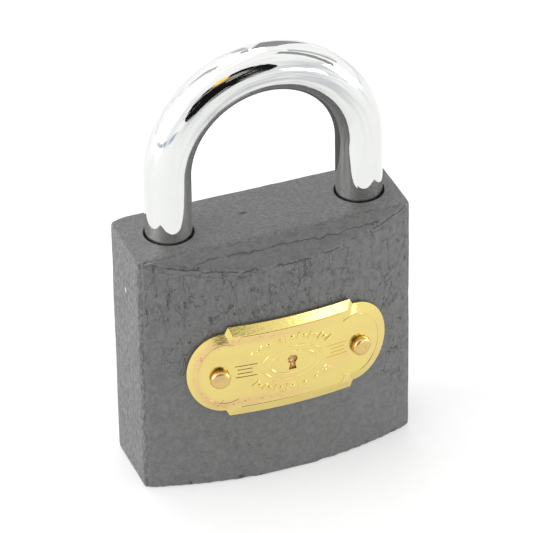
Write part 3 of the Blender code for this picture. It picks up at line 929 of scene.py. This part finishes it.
# %% Shape the blank
plate_low, plate_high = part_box("cover_plate")
PLATE_Z = middle_of("cover_plate")[2]
PLATE_HALF = (plate_high.x - plate_low.x) / 2
TALL_HALF = (plate_high.z - plate_low.z) / 2
STEP_LEAN = 0.5  # how far a step's end leans inwards per unit that the step rises
STEP_RIM = 0.45  # the rim is this much narrower beside a step
SHEET = 0.9 * MM
RIM_EDGE = 0.35 * MM
RIM = 1.7 * MM
MIDDLE_INSET = 1.12  # how far the tall middle's ends move in per unit of inset


def slope_top(shape, rim, size):
    """Raises the top face to the sheet's full thickness, smaller by the rim all round."""
    narrowed = (1 - rim[0] / size[0], 1 - rim[1] / size[1], 1.0)
    start_edit(shape)
    pick(shape, "faces", lambda face: face.normal.z > 0.9)
    pull(SHEET - RIM_EDGE)
    bpy.ops.transform.resize(value=narrowed)
    end_edit()


def raise_step(middle, side, half_x):
    """Makes the middle taller than the lobes, above them or below, with leaning ends."""
    step = TALL_HALF - LOBE_HALF
    start_edit(middle)
    pick(middle, "faces", lambda face: face.normal.y * side > 0.9)
    extrude(0.0, side * step, 0.0)
    bpy.ops.transform.resize(value=(1 - STEP_LEAN * step / half_x, 1.0, 1.0))
    bpy.ops.mesh.select_all(action="SELECT")
    bpy.ops.mesh.dissolve_limited(angle_limit=math.radians(1))
    end_edit()


def plate_shape(name, inset, low, high, rim=0.0):
    """The plate's outline, smaller by an inset, as a solid between two heights."""
    half_x, half_y = LOBE_X - inset * MIDDLE_INSET, LOBE_HALF - inset
    middle = add_block(name, (-half_x, -half_y, low), (half_x, half_y, high))
    for side in (-1, 1):
        raise_step(middle, side, half_x)
    shapes = [(middle, (half_x, TALL_HALF - inset))]
    for side in (-1, 1):
        size = (PLATE_HALF - LOBE_X - inset, half_y)
        spot = (side * LOBE_X, 0.0, (low + high) / 2)
        round_end = add("cylinder", "lobe", vertices=160, radius=1.0, depth=1.0, location=spot)
        round_end.scale = (*size, high - low)
        settle(round_end)
        shapes.append((round_end, size))
    if rim:
        for number, (shape, size) in enumerate(shapes):
            slope_top(shape, (rim if number else rim * STEP_RIM, rim), size)
    for lobe, size in shapes[1:]:
        combine(middle, lobe, "UNION")
    return middle


plate = plate_shape("stamped_plate", 0.0, 0.0, RIM_EDGE, RIM)
tell("blank", plate)

# %% [markdown]
# The fine line inside the rim is cut with a thin band: the same outline twice, a hair smaller
# the second time, one taken away from the other.

# %% Press the fine line
LINE_DEPTH = 0.07 * MM
LINE_WIDTH = 0.16 * MM
LINE_INSET = RIM + 0.12 * MM


def line_cutter(inset):
    low, high = SHEET - LINE_DEPTH, SHEET + MM
    band = plate_shape("line", inset, low, high)
    core = plate_shape("core", inset + LINE_WIDTH, low - MM, high + MM)
    combine(band, core)
    return band


combine(plate, line_cutter(LINE_INSET))
tell("with the line", plate)

# %% [markdown]
# The raised ornament is plain and carries no words: an oval frame within an oval frame around a
# keyhole, a row of strokes and beads above and below it, and ruled lines out to each rivet.
# Each is a small block, ring or ball sunk half its height into the sheet and joined on.

# %% A stroke, an oval and a bead
RELIEF = 0.11 * MM
OVAL_LINE = 0.30 * MM
STROKE_TAPER = 0.85
BEAD_RADIUS = 0.42 * MM
BEAD_FLATNESS = 0.45


def stroke(start, end, width):
    """A straight raised stroke between two points of the plate's face."""
    start, end = Vector((*start, SHEET)), Vector((*end, SHEET))
    run = end - start
    turn = (0.0, 0.0, math.atan2(run.y, run.x))
    size = (run.length, width, 2 * RELIEF)
    bar = add("cube", "stroke", size=1.0, location=(start + end) / 2, rotation=turn, scale=size)
    settle(bar)
    start_edit(bar)
    pick(bar, "faces", lambda face: face.normal.z > 0.9)
    bpy.ops.transform.resize(value=(STROKE_TAPER, STROKE_TAPER, 1.0))
    end_edit()
    return bar


def oval(half):
    """A raised oval line, from a ring stretched to shape."""
    sizes = {"major_radius": half.y, "minor_radius": OVAL_LINE / 2}
    settings = {"major_segments": 96, "minor_segments": 8, "location": (0.0, 0.0, SHEET)}
    ring = add("torus", "oval", **sizes, **settings)
    ring.scale = (half.x / half.y, 1.0, 2 * RELIEF / OVAL_LINE)
    settle(ring)
    return ring


def bead(x, y):
    """A low round bead."""
    size = {"segments": 16, "ring_count": 8, "radius": BEAD_RADIUS}
    ball = add("uv_sphere", "bead", location=(x, y, SHEET), **size)
    ball.scale = (1.0, 1.0, BEAD_FLATNESS)
    settle(ball)
    return ball


# %% Raise the ornament
OUTER_OVAL = Vector((5.4, 3.3)) * MM
INNER_OVAL = Vector((4.1, 2.2)) * MM
ROW_OVAL = Vector((7.4, 4.3)) * MM
ROW_HEIGHT = 1.7 * MM
ROW_STROKE = 0.40 * MM
RULED_STROKE = 0.16 * MM
RULED_LINES = [
    # height above the middle, near end and far end, in mm
    (1.15, 6.1, 10.4),
    (0.4, 7.0, 9.9),
    (-0.4, 7.0, 9.9),
    (-1.15, 6.1, 10.4),
]


def row_round(first, last, count):
    """Strokes that fan out from an oval between two angles in degrees, with beads between."""
    for n in range(2 * count - 1):
        angle = math.radians(first + (last - first) * n / (2 * count - 2))
        out = Vector((math.cos(angle), math.sin(angle)))
        foot = Vector((ROW_OVAL.x * out.x, ROW_OVAL.y * out.y))
        if n % 2:
            yield bead(*(foot + out * ROW_HEIGHT / 2))
        else:
            yield stroke(foot, foot + out * ROW_HEIGHT, ROW_STROKE)


def make_ornament():
    yield oval(OUTER_OVAL)
    yield oval(INNER_OVAL)
    yield from row_round(36, 144, 8)
    yield from row_round(216, 324, 8)
    for side in (-1, 1):
        for y, near, far in RULED_LINES:
            yield stroke((side * near * MM, y * MM), (side * far * MM, y * MM), RULED_STROKE)


combine(plate, join(list(make_ornament())), "UNION")
tell("with the ornament", plate)

# %% Press in the keyhole
KEYHOLE_PRESS = 0.35 * MM
EYE_RADIUS, EYE_Y = 0.9 * MM, 0.6 * MM
SKIRT_HALF, SKIRT_LOW, SKIRT_HIGH = 0.36 * MM, -1.5 * MM, 0.4 * MM


def keyhole_cutter():
    """The outline of a keyhole, to be pressed into the middle of the inner oval."""
    size = {"vertices": 40, "radius": EYE_RADIUS, "depth": 2 * KEYHOLE_PRESS}
    eye = add("cylinder", "keyhole", location=(0.0, EYE_Y, SHEET), **size)
    settle(eye)
    low = (-SKIRT_HALF, SKIRT_LOW, SHEET - KEYHOLE_PRESS)
    skirt = add_block("skirt", low, (SKIRT_HALF, SKIRT_HIGH, SHEET + KEYHOLE_PRESS))
    start_edit(skirt)
    pick(skirt, "verts", lambda vert: vert.co.y < -MM)
    bpy.ops.transform.resize(value=(2.0, 1.0, 1.0))
    end_edit()
    combine(eye, skirt, "UNION")
    return eye


combine(plate, keyhole_cutter())
tell("with the keyhole", plate)

# %% [markdown]
# A flat face bends only where it has points, so the plate is sliced every half millimetre before
# it is curved. The centre of the bend is the middle of the body's crown, which isn't quite the
# middle of the plate. The two rivet seats are pressed in last.

# %% Slice, stand up and bend the plate
SLICE = 0.5 * MM
SEAT_RADIUS = 2.0 * MM
SEAT_DEPTH = 0.25 * MM


def slice_upright(piece, low, high):
    start_edit(piece)
    for n in range(1, round((high - low) / SLICE)):
        bpy.ops.mesh.select_all(action="SELECT")
        bpy.ops.mesh.bisect(plane_co=(low + n * SLICE, 0.0, 0.0), plane_no=(1.0, 0.0, 0.0))
    end_edit()


def stand_up(piece):
    """Turns the flat plate to face the front, its back a gap's width before the origin."""
    piece.rotation_euler = (math.pi / 2, 0.0, 0.0)
    piece.location = (CORE_X, -RUNNING_GAP, PLATE_Z)
    settle(piece)


def bend(piece):
    """Bends the plate about the crown's middle and sets it against the crown."""
    xs = [vert.co.x for vert in piece.data.vertices]
    angle = (max(xs) - min(xs)) / CROWN_RADIUS
    settings = {"deform_method": "BEND", "deform_axis": "Z", "angle": angle}
    apply_modifier(piece, "SIMPLE_DEFORM", **settings)
    piece.location = (0.0, MID_Y - DEPTH / 2, 0.0)
    settle(piece)


def rivet_seat(side):
    """A shallow round recess that a rivet's head sits in."""
    face, out = rivet_spot(side)
    top = face + out * (RUNNING_GAP + SHEET)
    return drill("seat", SEAT_RADIUS, top - out * SEAT_DEPTH, top + out * MM)


slice_upright(plate, -PLATE_HALF, PLATE_HALF)
stand_up(plate)
bend(plate)
for side in (-1, 1):
    combine(plate, rivet_seat(side))
shade(plate, 15)
print("plate, mm:", [round(length / MM, 2) for length in plate.dimensions])
print("CAD plate, mm:", [round(length / MM, 2) for length in plate_high - plate_low])
finish_piece(plate, "case", plate_brass, "cover_plate")

# %% [markdown]
# ## Rivets
#
# The rivets were hammered down over the plate, and their heads stand up from it like small
# drums with a soft dome on top. A disc is pulled up from the foot of the shank, widened into
# the head, and its last edge is bevelled round. One rivet is made, and the second is a copy
# with its own mesh. Each stands square to the crowned face, so the two lean apart. The right
# one keeps a small dent from the hammer.

# %% Make the two rivets
HEAD_RADIUS = 1.75 * MM
HEAD_HEIGHT = 1.45 * MM
HEAD_ROUND = 0.6 * MM
SEAT_PLAY = 0.05 * MM
DENT_RADIUS = 0.30 * MM
DENT_DEPTH = 0.1 * MM
DENT_OFFSET = Vector((0.25, 0.0, -0.15)) * MM


def is_brim(edge):
    """Whether an edge runs round the top of a rivet's head."""
    wide = all(vert.co.xy.length > HEAD_RADIUS * 0.98 for vert in edge.verts)
    return wide and all(vert.co.z > HEAD_HEIGHT / 2 for vert in edge.verts)


def make_rivet():
    """A rivet standing on the origin, its head above it."""
    rivet = add_disc("rivet_left", 64, SHANK_RADIUS, (0.0, 0.0, -SHANK_LENGTH))
    start_edit(rivet)
    pull(SHANK_LENGTH)
    pull(0.0, HEAD_RADIUS / SHANK_RADIUS, (0.0, 0.0, 0.0))
    pull(HEAD_HEIGHT)
    bpy.ops.mesh.inset(thickness=HEAD_RADIUS - HEAD_ROUND, depth=0.0)
    face_out()
    print("brim edges:", pick(rivet, "edges", is_brim))
    bpy.ops.mesh.bevel(offset=HEAD_ROUND, segments=8, affect="EDGES")
    end_edit()
    return rivet


def seat_rivet(rivet, side):
    """Moves a rivet from the origin to its place on the plate."""
    face, out = rivet_spot(side)
    rivet.rotation_euler = out.to_track_quat("Z", "Y").to_euler()
    rivet.location = face + out * (RUNNING_GAP + SHEET - SEAT_DEPTH + SEAT_PLAY)
    settle(rivet)


def dent(rivet, side):
    """A ball pressed into the head, a little off its middle."""
    face, out = rivet_spot(side)
    head_top = face + out * (RUNNING_GAP + SHEET + HEAD_HEIGHT - DENT_DEPTH)
    ball = add("uv_sphere", "dent", segments=24, ring_count=12, radius=DENT_RADIUS)
    ball.location = head_top + DENT_OFFSET
    settle(ball)
    combine(rivet, ball)


left_rivet = make_rivet()
right_rivet = put_in_scene("rivet_right", left_rivet.data.copy())
seat_rivet(left_rivet, -1)
seat_rivet(right_rivet, 1)
dent(right_rivet, 1)
for side, rivet in (("left", left_rivet), ("right", right_rivet)):
    shade(rivet, 40)
    finish_piece(rivet, "case", rivet_brass, f"plate_rivet_{side}")

# %% [markdown]
# ## The plug and the painted disc
#
# Two more pieces show from outside. The plug that the key turns looks out of the base, and a
# small disc closes the hole on the toe side that the bolt's bore was drilled through.
#
# The real plug is turned on a lathe, and then the key's slot is broached along it and a row of
# pin holes drilled into its side. So a disc is pulled up in steps, as the lathe would leave it,
# with the groove for its retaining pin, and the slot and holes are cut out afterwards.

# %% Turn the plug
PLUG_EDGE = 0.4 * MM
FACE_MARGIN = 0.45 * MM
FACE_GROOVE = 0.18 * MM
keeper_low, keeper_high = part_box("cylinder_retaining_pin")


def turn_plug():
    foot = (PLUG_X, PLUG_Y, plug_low.z)
    face_radius = PLUG_RADIUS - PLUG_EDGE
    plug = add_disc("turned_plug", 96, face_radius, foot)
    start_edit(plug)
    waist = (keeper_low.x - RUNNING_GAP - PLUG_X) / PLUG_RADIUS
    groove_low, groove_high = keeper_low.z - RUNNING_GAP, keeper_high.z + RUNNING_GAP
    pull(PLUG_EDGE, PLUG_RADIUS / face_radius, foot)
    pull(groove_low - plug_low.z - PLUG_EDGE)
    pull(0.0, waist, foot)
    pull(groove_high - groove_low)
    pull(0.0, 1 / waist, foot)
    pull(plug_high.z - PLUG_EDGE - groove_high)
    pull(PLUG_EDGE, face_radius / PLUG_RADIUS, foot)
    face_out()
    pick(plug, "faces", lambda face: face.calc_center_median().z < plug_low.z + NEAR_NOTHING)
    bpy.ops.mesh.inset(thickness=FACE_MARGIN, depth=0.0)
    for depth in (-FACE_GROOVE, FACE_GROOVE):
        bpy.ops.mesh.inset(thickness=FACE_GROOVE, depth=depth)
    end_edit()
    return plug


turned_plug = turn_plug()
tell("turned plug", turned_plug)

# %% [markdown]
# The key's slot isn't a plain rectangle. A ward stands into it on one side and a groove runs up
# the other, so that only a key with the right section goes in. The plug is turned a quarter here,
# as by its key, so its slot lies along X and its pin holes point to the heel.

# %% Broach the key's slot and drill the pin holes
SLOT_ENDS = (-3.1 * MM, 3.4 * MM)
WARD_ENDS = (-0.95 * MM, 0.65 * MM)
GROOVE_ENDS = (0.35 * MM, 1.85 * MM)
SLOT_HALF = 0.9 * MM
SLOT_ROUND = 0.25 * MM
WARD = 0.5 * MM
PAST_LAST_PIN = 1.4 * MM
PIN_HOLE = 1.45 * MM


def slot_block(name, ends, low_y, high_y):
    """A block that runs up the plug, from below its face to above the last pin."""
    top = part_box(f"key_pin_{PINS[-1]}")[1].z + PAST_LAST_PIN
    low = (PLUG_X + ends[0], PLUG_Y + low_y, -MM)
    return add_block(name, low, (PLUG_X + ends[1], PLUG_Y + high_y, top))


def slot_cutter():
    slot = slot_block("slot", SLOT_ENDS, -SLOT_HALF, SLOT_HALF)
    start_edit(slot)
    pick(slot, "edges", lambda edge: abs(edge.verts[0].co.z - edge.verts[1].co.z) > MM)
    bpy.ops.mesh.bevel(offset=SLOT_ROUND, segments=3, affect="EDGES")
    end_edit()
    combine(slot, slot_block("ward", WARD_ENDS, -SLOT_HALF - MM, WARD - SLOT_HALF))
    combine(slot, slot_block("groove", GROOVE_ENDS, 0.0, SLOT_HALF + WARD), "UNION")
    return slot


def plug_holes():
    for number in PINS:
        height = middle_of(f"key_pin_{number}")[2]
        start, end = (PLUG_X, PLUG_Y, height), (PLUG_X - PLUG_RADIUS - MM, PLUG_Y, height)
        yield drill("pin_hole", PIN_HOLE, start, end, 40)
    low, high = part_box("drive_pin")
    x, y, _ = middle_of("drive_pin")
    radius = (high.x - low.x) / 2 + RUNNING_GAP
    yield drill("pin_socket", radius, (x, y, low.z - RUNNING_GAP), (x, y, plug_high.z + MM), 40)


combine(turned_plug, slot_cutter())
combine(turned_plug, join(list(plug_holes())))
shade(turned_plug, 30)
finish_piece(turned_plug, "cylinder", turned_brass, "cylinder_plug")

# %% [markdown]
# The disc was pressed in and painted over with the body. Its rim is rounded by the paint, and
# the punch that drove it home left a shallow round dent.

# %% Press in the painted disc
DISC_INSETS = [
    # width and depth of each ring of the disc's face, from its rim inwards
    (0.12 * MM, 0.0),
    (0.9 * MM, 0.0),
    (0.5 * MM, -0.12 * MM),
]
DISC_ROUND = 0.08 * MM


def make_disc():
    low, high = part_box("bore_plug")
    _, y, z = middle_of("bore_plug")
    radius = (high.z - low.z) / 2
    disc = drill("painted_disc", radius, (low.x, y, z), (high.x, y, z), 72)

    def on_rim(vert):
        away = math.hypot(vert.co.y - y, vert.co.z - z)
        return vert.co.x > high.x - NEAR_NOTHING and away > radius - 2 * NEAR_NOTHING

    start_edit(disc)
    pick(disc, "faces", lambda face: face.normal.x > 0.9)
    for width, depth in DISC_INSETS:
        bpy.ops.mesh.inset(thickness=width, depth=depth)
    pick(disc, "edges", lambda edge: all(on_rim(vert) for vert in edge.verts))
    bpy.ops.mesh.bevel(offset=DISC_ROUND, segments=2, affect="EDGES")
    end_edit()
    return disc


disc = make_disc()
shade(disc, 50)
finish_piece(disc, "case", crackle_paint, "bore_plug")

# %% [markdown]
# ## Springs
#
# A spring has to shorten or stretch as the lock works: its one end rests on the case, and its
# other end follows a pin, the bolt or the shackle. Each spring is wound anew. A ring of the
# wire's thickness is carried round and up by a Screw modifier, as wire is wound on a mandrel,
# and both ends of the wire are closed.

# %% Wind the springs
COIL_STEPS = 24
ALONG_X, ALONG_Y, ALONG_Z = Vector((1, 0, 0)), Vector((0, 1, 0)), Vector((0, 0, 1))


def wind(name, node, axis, wire, turns):
    """Winds a spring of the CAD spring's size, standing on the origin."""
    low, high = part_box(node)
    length = (high - low).dot(axis)
    coil = (high - low).dot(Vector((1, 1, 1)) - axis) / 4 - wire
    ring_place = {"location": (coil, 0.0, wire), "rotation": (math.pi / 2, 0.0, 0.0)}
    spring = add("circle", name, vertices=12, radius=wire, **ring_place)
    settle(spring)
    steps = round(COIL_STEPS * turns)
    rise = {"angle": 2 * math.pi * turns, "screw_offset": length - 2 * wire}
    detail = {"steps": steps, "render_steps": steps, "use_merge_vertices": False}
    apply_modifier(spring, "SCREW", **rise, **detail)
    start_edit(spring)
    bpy.ops.mesh.fill_holes(sides=0)
    face_out()
    end_edit()
    return spring


def set_spring(spring, node, axis, body):
    """Puts a wound spring where the CAD one is."""
    low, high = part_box(node)
    middle = (low + high) / 2
    half = axis * (high - low).dot(axis) / 2
    spring.rotation_euler = axis.to_track_quat("Z", "Y").to_euler()
    spring.location = middle - half
    settle(spring)
    shade(spring, 60)
    coat(spring, spring_steel)
    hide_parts(node)
    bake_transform(spring)
    tell(f"{spring.name} from case to {body}", spring)


heel_spring = wind("heel_spring", "shackle_spring", ALONG_Z, wire=0.45 * MM, turns=5.5)
set_spring(heel_spring, "shackle_spring", ALONG_Z, "shackle")
bolt_coil = wind("bolt_coil", "bolt_spring", ALONG_X, wire=0.25 * MM, turns=6.5)
set_spring(bolt_coil, "bolt_spring", ALONG_X, "bolt")
pin_coils = [wind("pin_coil_1", "pin_spring_1", ALONG_Y, wire=0.20 * MM, turns=4.5)]
for number in PINS[1:]:
    pin_coils.append(put_in_scene(f"pin_coil_{number}", pin_coils[0].data.copy()))
for number, coil in zip(PINS, pin_coils):
    set_spring(coil, f"pin_spring_{number}", ALONG_Y, f"driver_pin_{number}")

# %% [markdown]
# ## What stays as CAD
#
# The pieces inside keep their CAD shapes, and each gets its finish.

# %% Finish the inner pieces
STEEL_NODES = ["drive_pin", "locking_bolt", "shackle_retaining_pin", "cylinder_retaining_pin"]
STEEL_NODES += [f"driver_pin_{number}" for number in PINS]
BRASS_NODES = [f"key_pin_{number}" for number in PINS]
for material, names in ((plain_steel, STEEL_NODES), (turned_brass, BRASS_NODES)):
    for name in names:
        coat(frame["nodes"][name], material)
print("inner pieces finished:", len(STEEL_NODES + BRASS_NODES))

# %% [markdown]
# ## Floor, light and camera
#
# The lock stands on a light table, a pale sheet that glows a little and so shows hardly any
# shadow, in a bright room with a soft light to its left, one above and behind it, and a weaker
# one to its right.

# %% Floor
WHITE = (1.0, 1.0, 1.0, 1.0)
TABLE_GREY, TABLE_TOOTH = (0.34,) * 3, (0.36,) * 3
UNDER_BASE = 0.06 * MM  # the rough base dips this far below the CAD one

floor = add("plane", "floor", size=6.0, location=(0.0, 0.0, -UNDER_BASE))
light_table = Finish("light table", Roughness=0.9, Emission_Color=WHITE, Emission_Strength=0.45)
tooth = light_table.noise(3.0 * MM, 3.0)
light_table.feed("Base Color", light_table.mix(tooth, TABLE_GREY, TABLE_TOOTH))
coat(floor, light_table.material)

# %% World and lamps
world = bpy.data.worlds.new("white room")
bpy.context.scene.world = world
world.use_nodes = True
sky = world.node_tree.nodes["Background"]
sky.inputs["Color"].default_value = WHITE
sky.inputs["Strength"].default_value = 1.2


def direction(azimuth, elevation):
    """A unit vector towards a place in the room. Azimuth 0 is the front, and 90 is +X."""
    azimuth, elevation = math.radians(azimuth), math.radians(elevation)
    level = math.cos(elevation)
    return Vector((math.sin(azimuth) * level, -math.cos(azimuth) * level, math.sin(elevation)))


LAMP_DISTANCE = 1.2


def add_lamp(name, azimuth, elevation, size, power):
    """A square lamp that faces the body's middle."""
    light = bpy.data.lights.new(name, "AREA")
    light.size = size
    light.energy = power
    lamp = put_in_scene(name, light)
    way = direction(azimuth, elevation)
    lamp.location = Vector((0.0, 0.0, HEIGHT / 2)) + way * LAMP_DISTANCE
    lamp.rotation_euler = way.to_track_quat("Z", "Y").to_euler()


add_lamp("left softbox", -96, 25, size=1.0, power=14.5)
add_lamp("top softbox", 180, 62, size=0.8, power=5.6)
add_lamp("right fill", 72, 8, size=0.6, power=7.0)

# %% [markdown]
# Chrome shows the room that it stands in, so a few cards stand around the lock: a round black
# one where a viewer would be, a gold one and a bright window beside it, and greys where a room
# has its corners. Two more lie behind the lock, for the shade there. All of them are seen in
# reflections only.

# %% Cards that are only seen in reflections
ARCH_TOP = Vector((CORE_X, MID_Y, rod_high.z - ROD))


def dress_card(card, colour):
    """Makes a card glow in one colour whatever the light, and hides it but in reflections."""
    settle(card)
    glow = {"Emission_Color": (*colour, 1.0), "Emission_Strength": 1.0}
    finish = Finish(card.name, Base_Color=(0.0, 0.0, 0.0, 1.0), Specular_IOR_Level=0.0, **glow)
    coat(card, finish.material)
    card.visible_camera = card.visible_diffuse = card.visible_shadow = False
    card.visible_transmission = card.visible_volume_scatter = False


def add_card(name, kind, azimuth, elevation, distance, size, colour):
    """A flat card that faces the arch."""
    way = direction(azimuth, elevation)
    settings = {"fill_type": "NGON"} if kind == "circle" else {}
    card = add(kind, name, location=ARCH_TOP + way * distance, **settings)
    card.rotation_euler = way.to_track_quat("Z", "Y").to_euler()
    card.scale = (size[0] / 2, size[1] / 2, 1.0)
    dress_card(card, colour)


BLACK, SHADE, GREY, PALE = ((level,) * 3 for level in (0.01, 0.11, 0.36, 0.60))
GOLD, BLUISH, BRIGHT = (1.6, 1.0, 0.22), (0.55, 0.60, 0.72), (6.0,) * 3
ROOM_CARDS = [
    # name, kind, azimuth, elevation, distance, (width, height), colour
    ("black card", "circle", -8, 22, 0.90, (1.02, 0.84), BLACK),
    ("gold card", "plane", -22, 41, 0.80, (0.16, 0.15), GOLD),
    ("bright window", "plane", 30, -4, 0.90, (0.25, 0.22), BRIGHT),
    ("right corner", "plane", 76, 40, 1.0, (0.20, 0.85), GREY),
    ("right wall", "plane", 97, 36, 1.0, (0.16, 0.70), PALE),
    ("back corner", "plane", 153, 26, 1.0, (0.34, 0.80), GREY),
    ("back wall", "plane", 172, 34, 1.0, (0.12, 0.90), PALE),
    ("left corner", "plane", -146, 34, 1.0, (0.20, 1.00), PALE),
    ("left skirting", "plane", -64, -3, 1.0, (1.0, 0.12), BLUISH),
]
for card in ROOM_CARDS:
    add_card(*card)

# %% The shade behind the lock
SHADE_LEAN = 0.375  # how far the shade runs to the right per unit of way back
SHADE_START = MID_Y + SHOULDER_HALF + 1.2 * MM
SHADE_TRIM = 0.4 * MM
SHADE_CARDS = [
    # name, height, reach behind the body, colour
    ("deep shade", HEIGHT - 1.5 * MM, 60 * MM, SHADE),
    ("half shade", HEIGHT - 1.7 * MM, 76 * MM, PALE),
]


def add_shade(name, height, reach, colour):
    """A card lying behind the legs, as wide as they stand, which only they reflect."""
    near, far = SHADE_START, body_high.y + reach
    left = HEEL_X - ROD + SHADE_TRIM + SHADE_LEAN * near
    right = TOE_X + ROD + SHADE_LEAN * near
    spot = ((left + right) / 2, (near + far) / 2, height)
    card = add("plane", name, size=1.0, location=spot)
    card.scale = (right - left, far - near, 1.0)
    settle(card)
    start_edit(card)
    pick(card, "verts", lambda vert: vert.co.y > spot[1])
    bpy.ops.transform.translate(value=(SHADE_LEAN * (far - near), 0.0, 0.0))
    end_edit()
    dress_card(card, colour)


for card in SHADE_CARDS:
    add_shade(*card)
print("cards:", len(ROOM_CARDS + SHADE_CARDS))

# %% Camera
AZIMUTH = math.radians(-20.55)
ELEVATION = math.radians(33.89)
ROLL = math.radians(-0.99)
DISTANCE = 0.78435
FOCAL_LENGTH = 305.9  # millimetres
AIM = Vector((1.017 * MM, MID_Y + 0.164 * MM, 35.63 * MM))


def aim_camera():
    """Sets the camera a distance back from the point it looks at, rolled a little."""
    back = Vector((math.sin(AZIMUTH), -math.cos(AZIMUTH), 0.0)) * math.cos(ELEVATION)
    back.z = math.sin(ELEVATION)
    across = Vector((math.cos(AZIMUTH), math.sin(AZIMUTH), 0.0))
    up = back.cross(across)
    right = across * math.cos(ROLL) + up * math.sin(ROLL)
    top = up * math.cos(ROLL) - across * math.sin(ROLL)
    optics = bpy.data.cameras.new("camera")
    optics.lens = FOCAL_LENGTH
    camera = put_in_scene("camera", optics)
    turn = Matrix((right, top, back)).transposed().to_4x4()
    camera.matrix_world = Matrix.Translation(AIM + back * DISTANCE) @ turn
    bpy.context.scene.camera = camera


aim_camera()
bpy.context.scene.view_settings.view_transform = "Standard"
